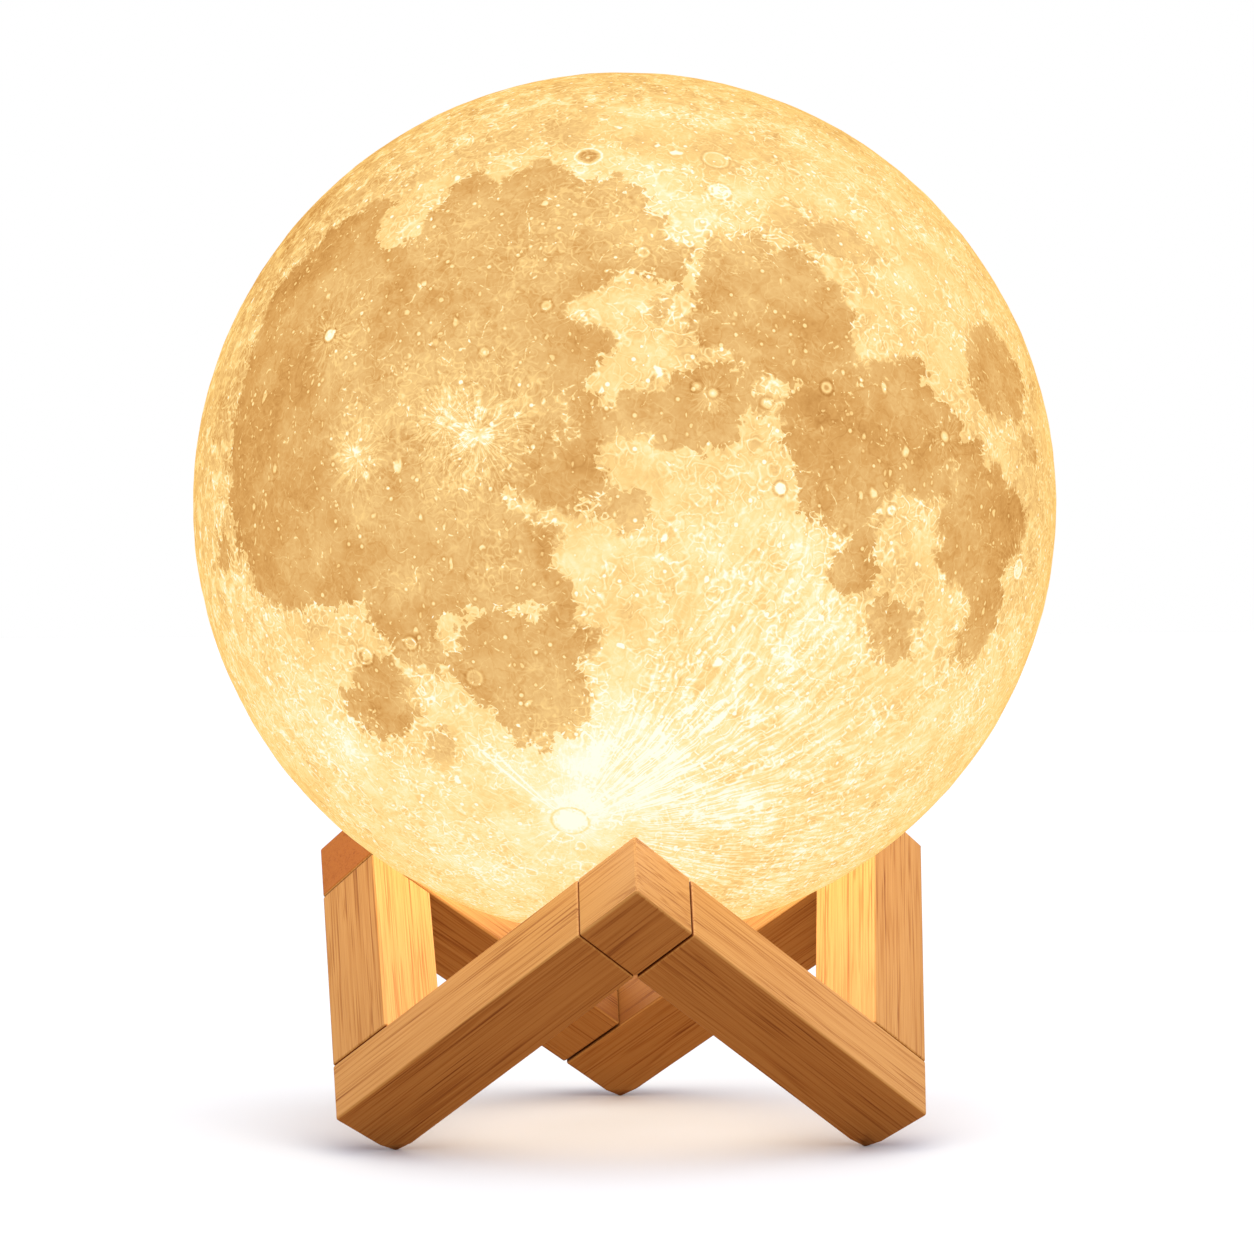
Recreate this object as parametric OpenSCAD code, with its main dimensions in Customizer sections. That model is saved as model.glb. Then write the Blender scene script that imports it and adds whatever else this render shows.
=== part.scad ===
// Moon lamp: a printed globe with a lamp module in its base, resting on a
// folding stand of six wooden bars.
// Millimetres, +Z up, front towards -Y.
// The origin is on the table, under the middle of the globe.

/* [Globe] */
// Outer diameter of the globe
globe_d = 150; // [120:5:200]
// Wall thickness of the printed globe
shell_wall = 1.8; // [1.2:0.2:3]
// Diameter of the opening under the globe
opening_d = 42; // [40:1:46]

/* [Stand] */
// Side of the square bars
bar_side = 13.5; // [12:0.5:16]
// Radius at which the bar axes meet at the feet
foot_radius = 47; // [44:1:56]
// Radius at which the bar axes meet at the peaks
peak_radius = 51.5; // [46:0.5:60]
// Height of the axes at the peaks above the axes at the feet
peak_rise = 33.5; // [30:0.5:42]
// Rounding of the long edges of the bars
edge_round = 0.6; // [0.4:0.2:2.4]
// Width of the hairline seams between the bars
seam_gap = 0.12; // [0.05:0.01:0.3]
// Height taken off the lowest corner of each foot
foot_cut = 1; // [0.6:0.1:1.6]
// Diameter of the elastic cord that strings the bars
cord_d = 2.4; // [1.6:0.2:3]

/* [Lamp module] */
// Outer diameter of the cup that holds the battery
cup_d = 33.2; // [32.6:0.1:33.6]
// Wall of the cup
cup_wall = 1.6; // [1.2:0.2:2]
// Height of the cup above the cap's disc
cup_h = 29.8; // [28:0.2:34]
// Travel of the power button
button_travel = 0.6; // [0.3:0.1:0.8]
// Turn that frees the module from the globe, in degrees
twist_angle = 40; // [36:1:44]

/* [Hidden] */
$fn = 96;

wood = "burlywood";
opal = "moccasin";
white_plastic = "whitesmoke";
steel = "silver";

big = 300;
eps = 0.01;
half = bar_side / 2;
globe_r = globe_d / 2;
opening_r = opening_d / 2;

// ---- directions and planes of the ring of bars ----

function unit(v) = v / norm(v);
function facing_up(n) = n[2] < 0 ? -n : n;
function facing_along(n, d) = n * d < 0 ? -n : n;
function on_circle(radius, azimuth, z) = [radius * cos(azimuth), radius * sin(azimuth), z];
// The point at distance one, along each of three normals, from the origin
function three_planes(a, b, c) = (cross(b, c) + cross(c, a) + cross(a, b)) / (a * cross(b, c));

// Each bar: its foot, its peak, the bar it meets at the foot, the bar it meets at the peak.
// Foot 0 is the back one, 1 the left, 2 the right; peak 0 is the right one, 1 the left, 2 the front.
front_left = 0;
front_right = 1;
left_side = 2;
right_side = 3;
back_left = 4;
back_right = 5;
ring = [[1, 2, left_side, front_right], [2, 2, right_side, front_left],
        [1, 1, front_left, back_left], [2, 0, front_right, back_right],
        [0, 1, back_right, left_side], [0, 0, back_left, right_side]];
foot_azimuth = 90;
peak_azimuth = 30;
third = 120;

function level_foot(k) = on_circle(foot_radius, foot_azimuth + third * k, 0);
function level_peak(k) = on_circle(peak_radius, peak_azimuth + third * k, peak_rise);
function bar_dir(i) = unit(level_peak(ring[i][1]) - level_foot(ring[i][0]));
// Normals of the two pairs of side faces: one pair lies flush with the bar it meets at the
// foot, the other with the bar it meets at the peak
function foot_normal(i) = unit(cross(bar_dir(i), bar_dir(ring[i][2])));
function peak_normal(i) = unit(cross(bar_dir(i), bar_dir(ring[i][3])));
// Normals of the end planes, which are side faces of the bars it meets
function foot_end_normal(i) = facing_along(peak_normal(ring[i][2]), bar_dir(i));
function peak_end_normal(i) = facing_along(foot_normal(ring[i][3]), bar_dir(i));

foot_corner = half * three_planes(facing_up(foot_normal(front_left)),
                                  facing_up(peak_normal(front_left)),
                                  facing_up(peak_normal(left_side)));
foot_z = foot_corner[2] - foot_cut;
function foot_at(k) = level_foot(k) + [0, 0, foot_z];
function peak_at(k) = level_peak(k) + [0, 0, foot_z];

peak_corner = peak_at(2) + half * three_planes(facing_up(peak_normal(front_left)),
                                               facing_up(foot_normal(front_left)),
                                               facing_up(foot_normal(front_right)));
// The globe rests on the inner top corners of the three peaks
rest_clearance = 0.2;
rest_radius = norm([peak_corner[0], peak_corner[1]]);
globe_z = peak_corner[2] + sqrt(pow(globe_r + rest_clearance, 2) - pow(rest_radius, 2));

// ---- shared shapes ----

// Places children with their Z along z_dir and their X as near x_dir as it can be
module along(point, z_dir, x_dir) {
    x = unit(x_dir - (x_dir * z_dir) * z_dir);
    y = cross(z_dir, x);
    multmatrix([[x[0], y[0], z_dir[0], point[0]],
                [x[1], y[1], z_dir[1], point[1]],
                [x[2], y[2], z_dir[2], point[2]],
                [0, 0, 0, 1]]) children();
}

// Everything beyond the plane at this distance past a point
module beyond(point, normal, distance) {
    side = abs(normal[0]) < 0.9 ? [1, 0, 0] : [0, 1, 0];
    along(point + distance * normal, normal, side)
        translate([-big / 2, -big / 2, 0]) cube(big);
}

// Round rod through a list of points, with a ball a little thicker at each bend
ball_swell = 1.1;
module rod(points, r) {
    for (i = [0 : len(points) - 2]) {
        span = points[i + 1] - points[i];
        side = abs(unit(span)[0]) < 0.9 ? [1, 0, 0] : [0, 1, 0];
        along(points[i], unit(span), side) cylinder(r = r, h = norm(span), $fn = 32);
    }
    for (i = [1 : len(points) - 2]) translate(points[i]) sphere(r = r * ball_swell, $fn = 32);
}

module tube(outer_r, inner_r, h) {
    difference() {
        cylinder(r = outer_r, h = h);
        translate([0, 0, -eps]) cylinder(r = inner_r, h = h + 2 * eps);
    }
}

// Ring sector between two angles
module sector(inner_r, outer_r, h, from_angle, to_angle) {
    rotate([0, 0, from_angle])
        rotate_extrude(angle = to_angle - from_angle)
            translate([inner_r, 0]) square([outer_r - inner_r, h]);
}

// Screw with its head resting at z = 0 and its shank below
module screw(head_r, head_h, shank_r, length) {
    difference() {
        union() {
            cylinder(r = head_r, h = head_h);
            translate([0, 0, -length]) cylinder(r = shank_r, h = length + eps);
        }
        for (turn = [0, 90]) rotate([0, 0, turn])
            translate([-head_r * 0.6, -head_r * 0.13, head_h * 0.5])
                cube([head_r * 1.2, head_r * 0.26, head_h]);
    }
}

// ---- wooden bars ----

bore_r = cord_d / 2 + 0.5;
// Flat round hollow where two bores meet, large enough to hold their whole crossing
turn_r = bore_r * 1.7;
turn_h = bore_r * 2.4;
corner_steps = 5;

// Section of a bar: four faces, one pair facing 0 degrees and one pair facing lean, with
// arcs at the corners
function bar_section(lean) = [
    for (corner = [[0, lean], [lean, 180], [180, 180 + lean], [180 + lean, 360]])
        for (step = [0 : corner_steps])
            let (a = corner[0], b = corner[1], turn = a + (b - a) * step / corner_steps,
                 reach = (half - edge_round) / (1 + cos(b - a)))
            reach * ([cos(a), sin(a)] + [cos(b), sin(b)]) + edge_round * [cos(turn), sin(turn)]];

// Length of bar i between two end planes, each given by a point, a normal and a distance
module bar_piece(i, low_point, low_normal, low, high_point, high_normal, high) {
    d = bar_dir(i);
    x = foot_normal(i);
    y = cross(d, x);
    n = peak_normal(i);
    lean = atan2(n * y, n * x);
    difference() {
        along(foot_at(ring[i][0]), d, x)
            translate([0, 0, -bar_side * 2])
                linear_extrude(height = norm(high_point - low_point) + bar_side * 8)
                    polygon(bar_section(lean < 0 ? lean + 180 : lean));
        beyond(low_point, -low_normal, -low);
        beyond(high_point, high_normal, high);
    }
}

// Bore for the cord from a meeting point of the axes, along a bar
module cord_bore(point, dir, length) {
    side = abs(dir[0]) < 0.9 ? [1, 0, 0] : [0, 1, 0];
    along(point, dir, side) cylinder(r = bore_r, h = length);
}

// At an owned corner: the second bore, and the hollow where the cord turns into it
module cord_turn(point, from_dir, into_dir) {
    cord_bore(point, into_dir, bar_side);
    along(point, unit(cross(from_dir, into_dir)), from_dir)
        translate([0, 0, -turn_h / 2]) cylinder(r = turn_r, h = turn_h);
}

// Whole bar. Where it owns the corner it runs to the outer face of the bar it meets there,
// and elsewhere it stops at that bar's inner face.
module bar(i, owns_foot, owns_peak) {
    foot = foot_at(ring[i][0]);
    peak = peak_at(ring[i][1]);
    d = bar_dir(i);
    color(wood) difference() {
        bar_piece(i, foot, foot_end_normal(i), owns_foot ? -half : half + seam_gap,
                  peak, peak_end_normal(i), owns_peak ? half : -half - seam_gap);
        cord_bore(foot, d, norm(peak - foot));
        if (owns_foot) cord_turn(foot, d, bar_dir(ring[i][2]));
        if (owns_peak) cord_turn(peak, -d, -bar_dir(ring[i][3]));
        if (owns_foot) translate([-big / 2, -big / 2, -big]) cube(big);
    }
}

ferrule_r = 2.4;
ferrule_l = 7;
ferrule_start = half + 2;
pocket_r = ferrule_r + 0.4;

module front_left_bar() bar(front_left, true, false);
module front_right_bar() bar(front_right, true, false);
module left_side_bar() bar(left_side, false, false);
module right_side_bar() bar(right_side, false, true);
module back_right_bar() bar(back_right, true, false);

// The butted end of this bar hides the ferrule that joins the cord's ends
module back_left_bar() {
    difference() {
        bar(back_left, false, true);
        along(foot_at(0), bar_dir(back_left), [1, 0, 0])
            cylinder(r = pocket_r, h = ferrule_start + ferrule_l + 1);
    }
}

module front_peak_block() {
    peak = peak_at(2);
    color(wood) difference() {
        bar_piece(front_left, peak, peak_end_normal(front_left), -half,
                  peak, peak_end_normal(front_left), half);
        cord_bore(peak, -bar_dir(front_left), bar_side);
        cord_turn(peak, -bar_dir(front_left), -bar_dir(front_right));
    }
}

module elastic_cord() {
    color("dimgray") rod([foot_at(1), peak_at(2), foot_at(2), peak_at(0), foot_at(0), peak_at(1),
                          foot_at(1), foot_at(1) + half * bar_dir(front_left)], cord_d / 2);
}

module cord_ferrule() {
    color(steel) along(foot_at(0) + ferrule_start * bar_dir(back_left), bar_dir(back_left), [1, 0, 0])
        tube(ferrule_r, cord_d / 2 + 0.05, ferrule_l);
}

// ---- globe ----
// Heights from here on are measured from the middle of the globe.

collar_flange_r = 26;
collar_glue_gap = 0.1;
cap_r = 19;
collar_r = cap_r + 0.3;
collar_top = 11;
ledge_r = cup_d / 2 + 0.4;
disc_top = 5.2;
ledge_low = disc_top + 0.6;
ledge_h = 2.5;
lug_span = 24;
lug_play = 0.8;
lug_r = collar_r - 0.8;
channel_r = lug_r + 0.4;
lug_h = 2;
lug_z = ledge_low + ledge_h + 0.1;
lugs = 3;

module globe_frame() translate([0, 0, globe_z]) children();
// Heights above the lowest point of the globe
module base_frame() translate([0, 0, globe_z - globe_r]) children();

module moon_shell() {
    color(opal) globe_frame() difference() {
        sphere(r = globe_r, $fn = 180);
        sphere(r = globe_r - shell_wall, $fn = 180);
        translate([0, 0, -big]) cylinder(r = opening_r, h = big);
    }
}

// Ring bonded inside the opening, with the ledge and stops of the twist lock
module shell_collar() {
    color(white_plastic) difference() {
        union() {
            intersection() {
                base_frame() cylinder(r = collar_flange_r, h = collar_top);
                globe_frame() sphere(r = globe_r - shell_wall - collar_glue_gap);
            }
            intersection() {
                base_frame() cylinder(r = opening_r - collar_glue_gap, h = disc_top + 1.3);
                globe_frame() sphere(r = globe_r);
            }
        }
        base_frame() {
            translate([0, 0, -eps]) cylinder(r = collar_r, h = ledge_low + eps);
            cylinder(r = ledge_r, h = collar_top + 1);
            for (k = [0 : lugs - 1]) rotate([0, 0, third * k]) {
                lug_edge = lug_span / 2 + lug_play;
                translate([0, 0, ledge_low + ledge_h])
                    sector(ledge_r - 1, channel_r, collar_top, -twist_angle - lug_edge, lug_edge);
                translate([0, 0, ledge_low - 1])
                    sector(ledge_r - 1, channel_r, ledge_h + 2,
                           -twist_angle - lug_edge, -twist_angle + lug_edge);
            }
        }
    }
}

// ---- lamp module ----

cup_r = cup_d / 2;
cup_inner = cup_r - cup_wall;
cup_top = disc_top + cup_h;
button_r = 5;
button_flange_r = 6.2;
socket_w = 8.94;
socket_t = 3.26;
socket_y = 10.8;
socket_wall = 0.3;
socket_low = 1.2;
socket_h = 10.5;
board_low = socket_low + socket_h;
board_t = 1.2;
board_top = board_low + board_t;
board_r = cup_inner - 0.4;
light_y = -10.5;
light_r = 1.2;
board_boss_at = [135, 315];
lid_boss_at = [45, 225];
boss_r = 2.2;
board_boss_radius = 11.5;
lid_boss_radius = 12;
thread_r = 0.75;
pilot_r = thread_r + 0.05;
screw_head_r = 1.8;
screw_head_h = 1.1;
pad_t = 1.5;
lid_spigot = 1.1;
lid_t = 2;
lid_top = cup_top + lid_t;
battery = [22, 9, cup_top - lid_spigot - board_top - 2 * pad_t];
ring_inner = 14.5;
ring_outer = 17.5;
ring_t = 0.8;
ring_gap = 0.05;
lead_r = 0.6;
led_lead = [1.2, -7.5];
led_board_r = 9.5;
led_board_t = 1.2;

// Slot with round ends, in the middle of its lower face
module slot(width, thickness, h) {
    run = (width - thickness) / 2;
    linear_extrude(height = h) {
        square([run * 2, thickness], center = true);
        for (side = [-1, 1]) translate([side * run, 0]) circle(d = thickness, $fn = 48);
    }
}

module at_bosses(angles, radius, z) {
    for (a = angles) translate(on_circle(radius, a, z)) children();
}

module base_cap() {
    color(white_plastic) difference() {
        union() {
            intersection() {
                base_frame() translate([0, 0, -1]) cylinder(r = cap_r, h = disc_top + 1);
                globe_frame() sphere(r = globe_r);
            }
            base_frame() {
                translate([0, 0, disc_top - 1]) tube(cup_r, cup_inner, cup_h + 1);
                for (k = [0 : lugs - 1]) rotate([0, 0, third * k]) translate([0, 0, lug_z])
                    sector(cup_inner + 0.5, lug_r, lug_h, -lug_span / 2, lug_span / 2);
                at_bosses(board_boss_at, board_boss_radius, disc_top - 1)
                    cylinder(r = boss_r, h = board_low - disc_top + 1);
                at_bosses(lid_boss_at, lid_boss_radius, disc_top - 1)
                    cylinder(r = boss_r, h = cup_top - lid_spigot - disc_top + 1);
            }
        }
        base_frame() {
            translate([0, 0, -1]) cylinder(r = button_r + 0.15, h = disc_top + 2);
            translate([0, socket_y, -1]) slot(socket_w + 0.3, socket_t + 0.3, disc_top + 2);
            translate([0, light_y, -1]) cylinder(r = light_r + 0.1, h = disc_top + 2);
            at_bosses(board_boss_at, board_boss_radius, board_low - 4.6) cylinder(r = pilot_r, h = 5);
            at_bosses(lid_boss_at, lid_boss_radius, cup_top - lid_spigot - 5.6)
                cylinder(r = pilot_r, h = 6);
        }
        // Seat of the trim ring
        difference() {
            base_frame() translate([0, 0, -1])
                tube(ring_outer + ring_gap, ring_inner - ring_gap, disc_top - 1);
            globe_frame() sphere(r = globe_r - ring_t - ring_gap);
        }
    }
}

module trim_ring() {
    color(steel) intersection() {
        base_frame() tube(ring_outer, ring_inner, disc_top - 1);
        globe_frame() difference() {
            sphere(r = globe_r);
            sphere(r = globe_r - ring_t);
        }
    }
}

module seal_ring() {
    color("dimgray") base_frame() translate([0, 0, disc_top])
        tube(cap_r - 0.2, ledge_r + 0.3, ledge_low - disc_top - 0.1);
}

module charge_socket() {
    color(steel) base_frame() translate([0, socket_y, socket_low]) difference() {
        slot(socket_w, socket_t, socket_h);
        translate([0, 0, -eps])
            slot(socket_w - 2 * socket_wall, socket_t - 2 * socket_wall, socket_h + 2 * eps);
    }
}

// Insulator behind the port, with the tongue that carries the contacts
port_depth = 6.2;
tongue = [6.7, 0.7, 5.6];
module socket_tongue() {
    inner_gap = 2 * socket_wall + 0.04;
    color("black") base_frame() translate([0, socket_y, socket_low]) {
        translate([0, 0, port_depth])
            slot(socket_w - inner_gap, socket_t - inner_gap, socket_h - port_depth);
        translate([-tongue[0] / 2, -tongue[1] / 2, port_depth - tongue[2]])
            cube([tongue[0], tongue[1], tongue[2] + 1]);
    }
}

module charge_light() {
    color("lightcyan") base_frame() translate([0, light_y, 0]) {
        translate([0, 0, 1.1]) cylinder(r = light_r, h = board_low - 1.4, $fn = 48);
        translate([0, 0, disc_top]) cylinder(r = light_r + 0.7, h = 1, $fn = 48);
    }
}

module control_board() {
    color("darkgreen") base_frame() translate([0, 0, board_low]) difference() {
        cylinder(r = board_r, h = board_t);
        at_bosses(lid_boss_at, lid_boss_radius, -1) cylinder(r = boss_r + 0.3, h = board_t + 2);
        at_bosses(board_boss_at, board_boss_radius, -1) cylinder(r = thread_r + 0.3, h = board_t + 2);
    }
}

module board_screws() {
    color(steel) base_frame() at_bosses(board_boss_at, board_boss_radius, board_top)
        screw(screw_head_r, screw_head_h, thread_r, 5);
}

plunger_r = 1.75;
plunger_h = 1.6;
plunger_out = 0.8;
plunger_play = 0.05;
switch_size = 6;
switch_h = 3.5;
switch_low = board_low - switch_h;
stem_top = switch_low - plunger_out;
stem_r = 2;
button_face = 0.25;

module tact_switch() {
    color("black") base_frame() translate([0, 0, switch_low]) difference() {
        translate([-switch_size / 2, -switch_size / 2, 0]) cube([switch_size, switch_size, switch_h]);
        translate([0, 0, -plunger_out])
            cylinder(r = plunger_r + plunger_play, h = plunger_h + button_travel + 0.2, $fn = 48);
    }
}

module battery_cell() {
    corner = 1.6;
    inset = [battery[0] - 2 * corner, battery[1] - 2 * corner];
    color("silver") base_frame() translate([0, 0, board_top + pad_t])
        linear_extrude(height = battery[2]) {
            square([inset[0], battery[1]], center = true);
            square([battery[0], inset[1]], center = true);
            for (x = [-1, 1], y = [-1, 1])
                translate([x * inset[0] / 2, y * inset[1] / 2]) circle(r = corner, $fn = 48);
        }
}

module battery_pads() {
    pad = [battery[0] - 4, battery[1] - 1, pad_t];
    color("dimgray") base_frame()
        for (z = [board_top, board_top + pad_t + battery[2]])
            translate([-pad[0] / 2, -pad[1] / 2, z]) cube(pad);
}

module cup_lid() {
    color(white_plastic) base_frame() difference() {
        union() {
            translate([0, 0, cup_top]) cylinder(r = cup_r, h = lid_t);
            translate([0, 0, cup_top - lid_spigot]) cylinder(r = cup_inner - 0.15, h = lid_t);
        }
        at_bosses(lid_boss_at, lid_boss_radius, cup_top - 3) cylinder(r = thread_r + 0.2, h = 9);
        for (side = [-1, 1]) translate([side * led_lead[0], led_lead[1], cup_top - 3])
            cylinder(r = lead_r + 0.2, h = 9, $fn = 48);
    }
}

module lid_screws() {
    color(steel) base_frame() at_bosses(lid_boss_at, lid_boss_radius, lid_top)
        screw(screw_head_r, screw_head_h, thread_r, 8);
}

module led_board() {
    color("white") base_frame() translate([0, 0, lid_top]) cylinder(r = led_board_r, h = led_board_t);
}

chip = [2.8, 3.5, 0.7];
chip_ring_r = 6;
ring_chips = 6;
module led_chips() {
    color("gold") base_frame() translate([0, 0, lid_top + led_board_t]) {
        translate([-chip[0] / 2, -chip[1] / 2, 0]) cube(chip);
        for (k = [0 : ring_chips - 1]) rotate([0, 0, 360 / ring_chips * k])
            translate([chip_ring_r - chip[0] / 2, -chip[1] / 2, 0]) cube(chip);
    }
}

diffuser_r = cup_r - 1;
diffuser_wall = 1.2;
module led_diffuser() {
    color(opal) base_frame() translate([0, 0, lid_top]) difference() {
        sphere(r = diffuser_r);
        sphere(r = diffuser_r - diffuser_wall);
        translate([0, 0, -big]) cylinder(r = cup_r, h = big);
    }
}

// From the side of the battery down to the board
module battery_leads() {
    y = battery[1] / 2;
    bow = 2;
    z = board_top + pad_t + battery[2] * 0.75;
    for (side = [-1, 1]) color(side < 0 ? "black" : "red") base_frame()
        rod([[side * bow, y, z], [side * bow, y + bow, z], [side * bow, y + bow, board_top]], lead_r);
}

// From the board up to the lamp board
module led_leads() {
    for (side = [-1, 1]) color(side < 0 ? "black" : "red") base_frame()
        translate([side * led_lead[0], led_lead[1], board_top])
            cylinder(r = lead_r, h = lid_top - board_top, $fn = 32);
}

module power_button() {
    color(white_plastic) base_frame() {
        translate([0, 0, button_face]) cylinder(r = button_r, h = disc_top);
        translate([0, 0, disc_top + 0.2]) cylinder(r = button_flange_r, h = 1);
        translate([0, 0, disc_top]) cylinder(r = stem_r, h = stem_top - disc_top);
    }
}

module switch_plunger() {
    color("black") base_frame() translate([0, 0, stem_top])
        cylinder(r = plunger_r, h = plunger_h, $fn = 48);
}

front_left_bar();
front_right_bar();
left_side_bar();
right_side_bar();
back_left_bar();
back_right_bar();
front_peak_block();
elastic_cord();
cord_ferrule();
moon_shell();
shell_collar();
base_cap();
trim_ring();
seal_ring();
charge_socket();
socket_tongue();
charge_light();
control_board();
board_screws();
tact_switch();
battery_cell();
battery_pads();
cup_lid();
lid_screws();
led_board();
led_chips();
led_diffuser();
battery_leads();
led_leads();
power_button();
switch_plunger();
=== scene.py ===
# Moon lamp on a stand of six wooden bars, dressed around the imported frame.
# Lengths are in metres, angles in degrees, front towards -Y.
import itertools
import math

import bpy
import numpy as np
from mathutils import Matrix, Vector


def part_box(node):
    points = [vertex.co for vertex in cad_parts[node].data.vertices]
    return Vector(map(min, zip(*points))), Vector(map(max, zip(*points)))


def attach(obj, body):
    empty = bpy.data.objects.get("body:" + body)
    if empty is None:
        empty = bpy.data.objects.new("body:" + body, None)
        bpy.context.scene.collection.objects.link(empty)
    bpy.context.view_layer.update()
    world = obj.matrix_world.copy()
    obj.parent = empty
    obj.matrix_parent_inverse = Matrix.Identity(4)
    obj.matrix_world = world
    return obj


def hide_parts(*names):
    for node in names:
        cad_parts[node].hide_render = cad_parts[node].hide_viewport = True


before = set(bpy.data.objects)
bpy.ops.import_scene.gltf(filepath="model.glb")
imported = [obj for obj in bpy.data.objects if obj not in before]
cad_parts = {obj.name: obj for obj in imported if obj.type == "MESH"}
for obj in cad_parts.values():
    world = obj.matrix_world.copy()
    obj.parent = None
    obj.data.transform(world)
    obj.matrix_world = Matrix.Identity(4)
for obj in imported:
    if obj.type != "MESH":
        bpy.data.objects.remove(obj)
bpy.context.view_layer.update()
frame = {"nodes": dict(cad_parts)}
nodes = frame["nodes"]


def report(text):
    print("moon lamp:", text)


def fromSrgb(red, green, blue):
    # Screen colour of 0 to 255 to linear light: the usual curve, c/12.92 low down and a power above
    parts = [value / 255 for value in (red, green, blue)]
    return tuple(v / 12.92 if v <= 0.04045 else ((v + 0.055) / 1.055) ** 2.4 for v in parts) + (1.0,)


def addItem(name, data):
    item = bpy.data.objects.new(name, data)
    bpy.context.scene.collection.objects.link(item)
    return item


def aimed(right, up, backward, place=(0.0, 0.0, 0.0)):
    # Matrix of an item that looks against backward, from place
    matrix = Matrix.Identity(4)
    for row in range(3):
        for column, way in enumerate((right, up, backward, place)):
            matrix[row][column] = way[row]
    return matrix


# Camera

camera = {
    "place": (-0.0218, -0.7970, 0.1092),
    "turned": 1.59,
    "down": 1.53,
    "rolled": -0.24,
    "focalPixels": 4572,
    "imagePixels": 1254,
    "sensor": 36,
    "clipStart": 0.01,
    "clipEnd": 50,
}


def makeCamera(values):
    data = bpy.data.cameras.new("photoCamera")
    data.sensor_width = values["sensor"]
    data.lens = values["focalPixels"] * values["sensor"] / values["imagePixels"]
    data.clip_start, data.clip_end = values["clipStart"], values["clipEnd"]
    turned, down, rolled = (math.radians(values[key]) for key in ("turned", "down", "rolled"))
    level = math.cos(down)
    ahead = np.array([math.sin(turned) * level, math.cos(turned) * level, -math.sin(down)])
    flatRight = np.array([math.cos(turned), -math.sin(turned), 0.0])
    flatUp = np.cross(flatRight, ahead)
    right = math.cos(rolled) * flatRight + math.sin(rolled) * flatUp
    up = np.cross(right, ahead)
    item = addItem("photoCamera", data)
    item.matrix_world = aimed(right, up, -ahead, values["place"])
    bpy.context.scene.camera = item


makeCamera(camera)
report("camera placed")


# Shader writing

class Signal:
    # One output of a node; sums and products of signals add Math nodes
    def __init__(self, nodes, link):
        self.nodes, self.link = nodes, link

    def __add__(self, other):
        return self.nodes.maths("ADD", self, other)

    def __sub__(self, other):
        return self.nodes.maths("SUBTRACT", self, other)

    def __rsub__(self, other):
        return self.nodes.maths("SUBTRACT", other, self)

    def __mul__(self, other):
        return self.nodes.maths("MULTIPLY", self, other)

    def __truediv__(self, other):
        return self.nodes.maths("DIVIDE", self, other)

    def __abs__(self):
        return self.nodes.maths("ABSOLUTE", self)

    __radd__ = __add__
    __rmul__ = __mul__


class Nodes:
    # The nodes of a material or of the world; make adds one, with its settings and its inputs
    def __init__(self, owner):
        owner.use_nodes = True
        self.tree = owner.node_tree
        self.tree.nodes.clear()

    def feed(self, socket, value):
        if isinstance(value, Signal):
            self.tree.links.new(value.link, socket)
        else:
            socket.default_value = value

    def make(self, kind, settings, sockets, output=0):
        node = self.tree.nodes.new(kind)
        for name, value in settings.items():
            if name == "stops":
                band = node.color_ramp
                while len(band.elements) < len(value):
                    band.elements.new(0.5)
                for element, (place, colour) in zip(band.elements, value):
                    element.position, element.color = place, colour
            else:
                setattr(node, name, value)
        for key, value in sockets.items():
            self.feed(node.inputs[key], value)
        return Signal(self, None if output is None else node.outputs[output])

    def maths(self, operation, first, second=0.0):
        return self.make("ShaderNodeMath", {"operation": operation}, {0: first, 1: second})


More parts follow.
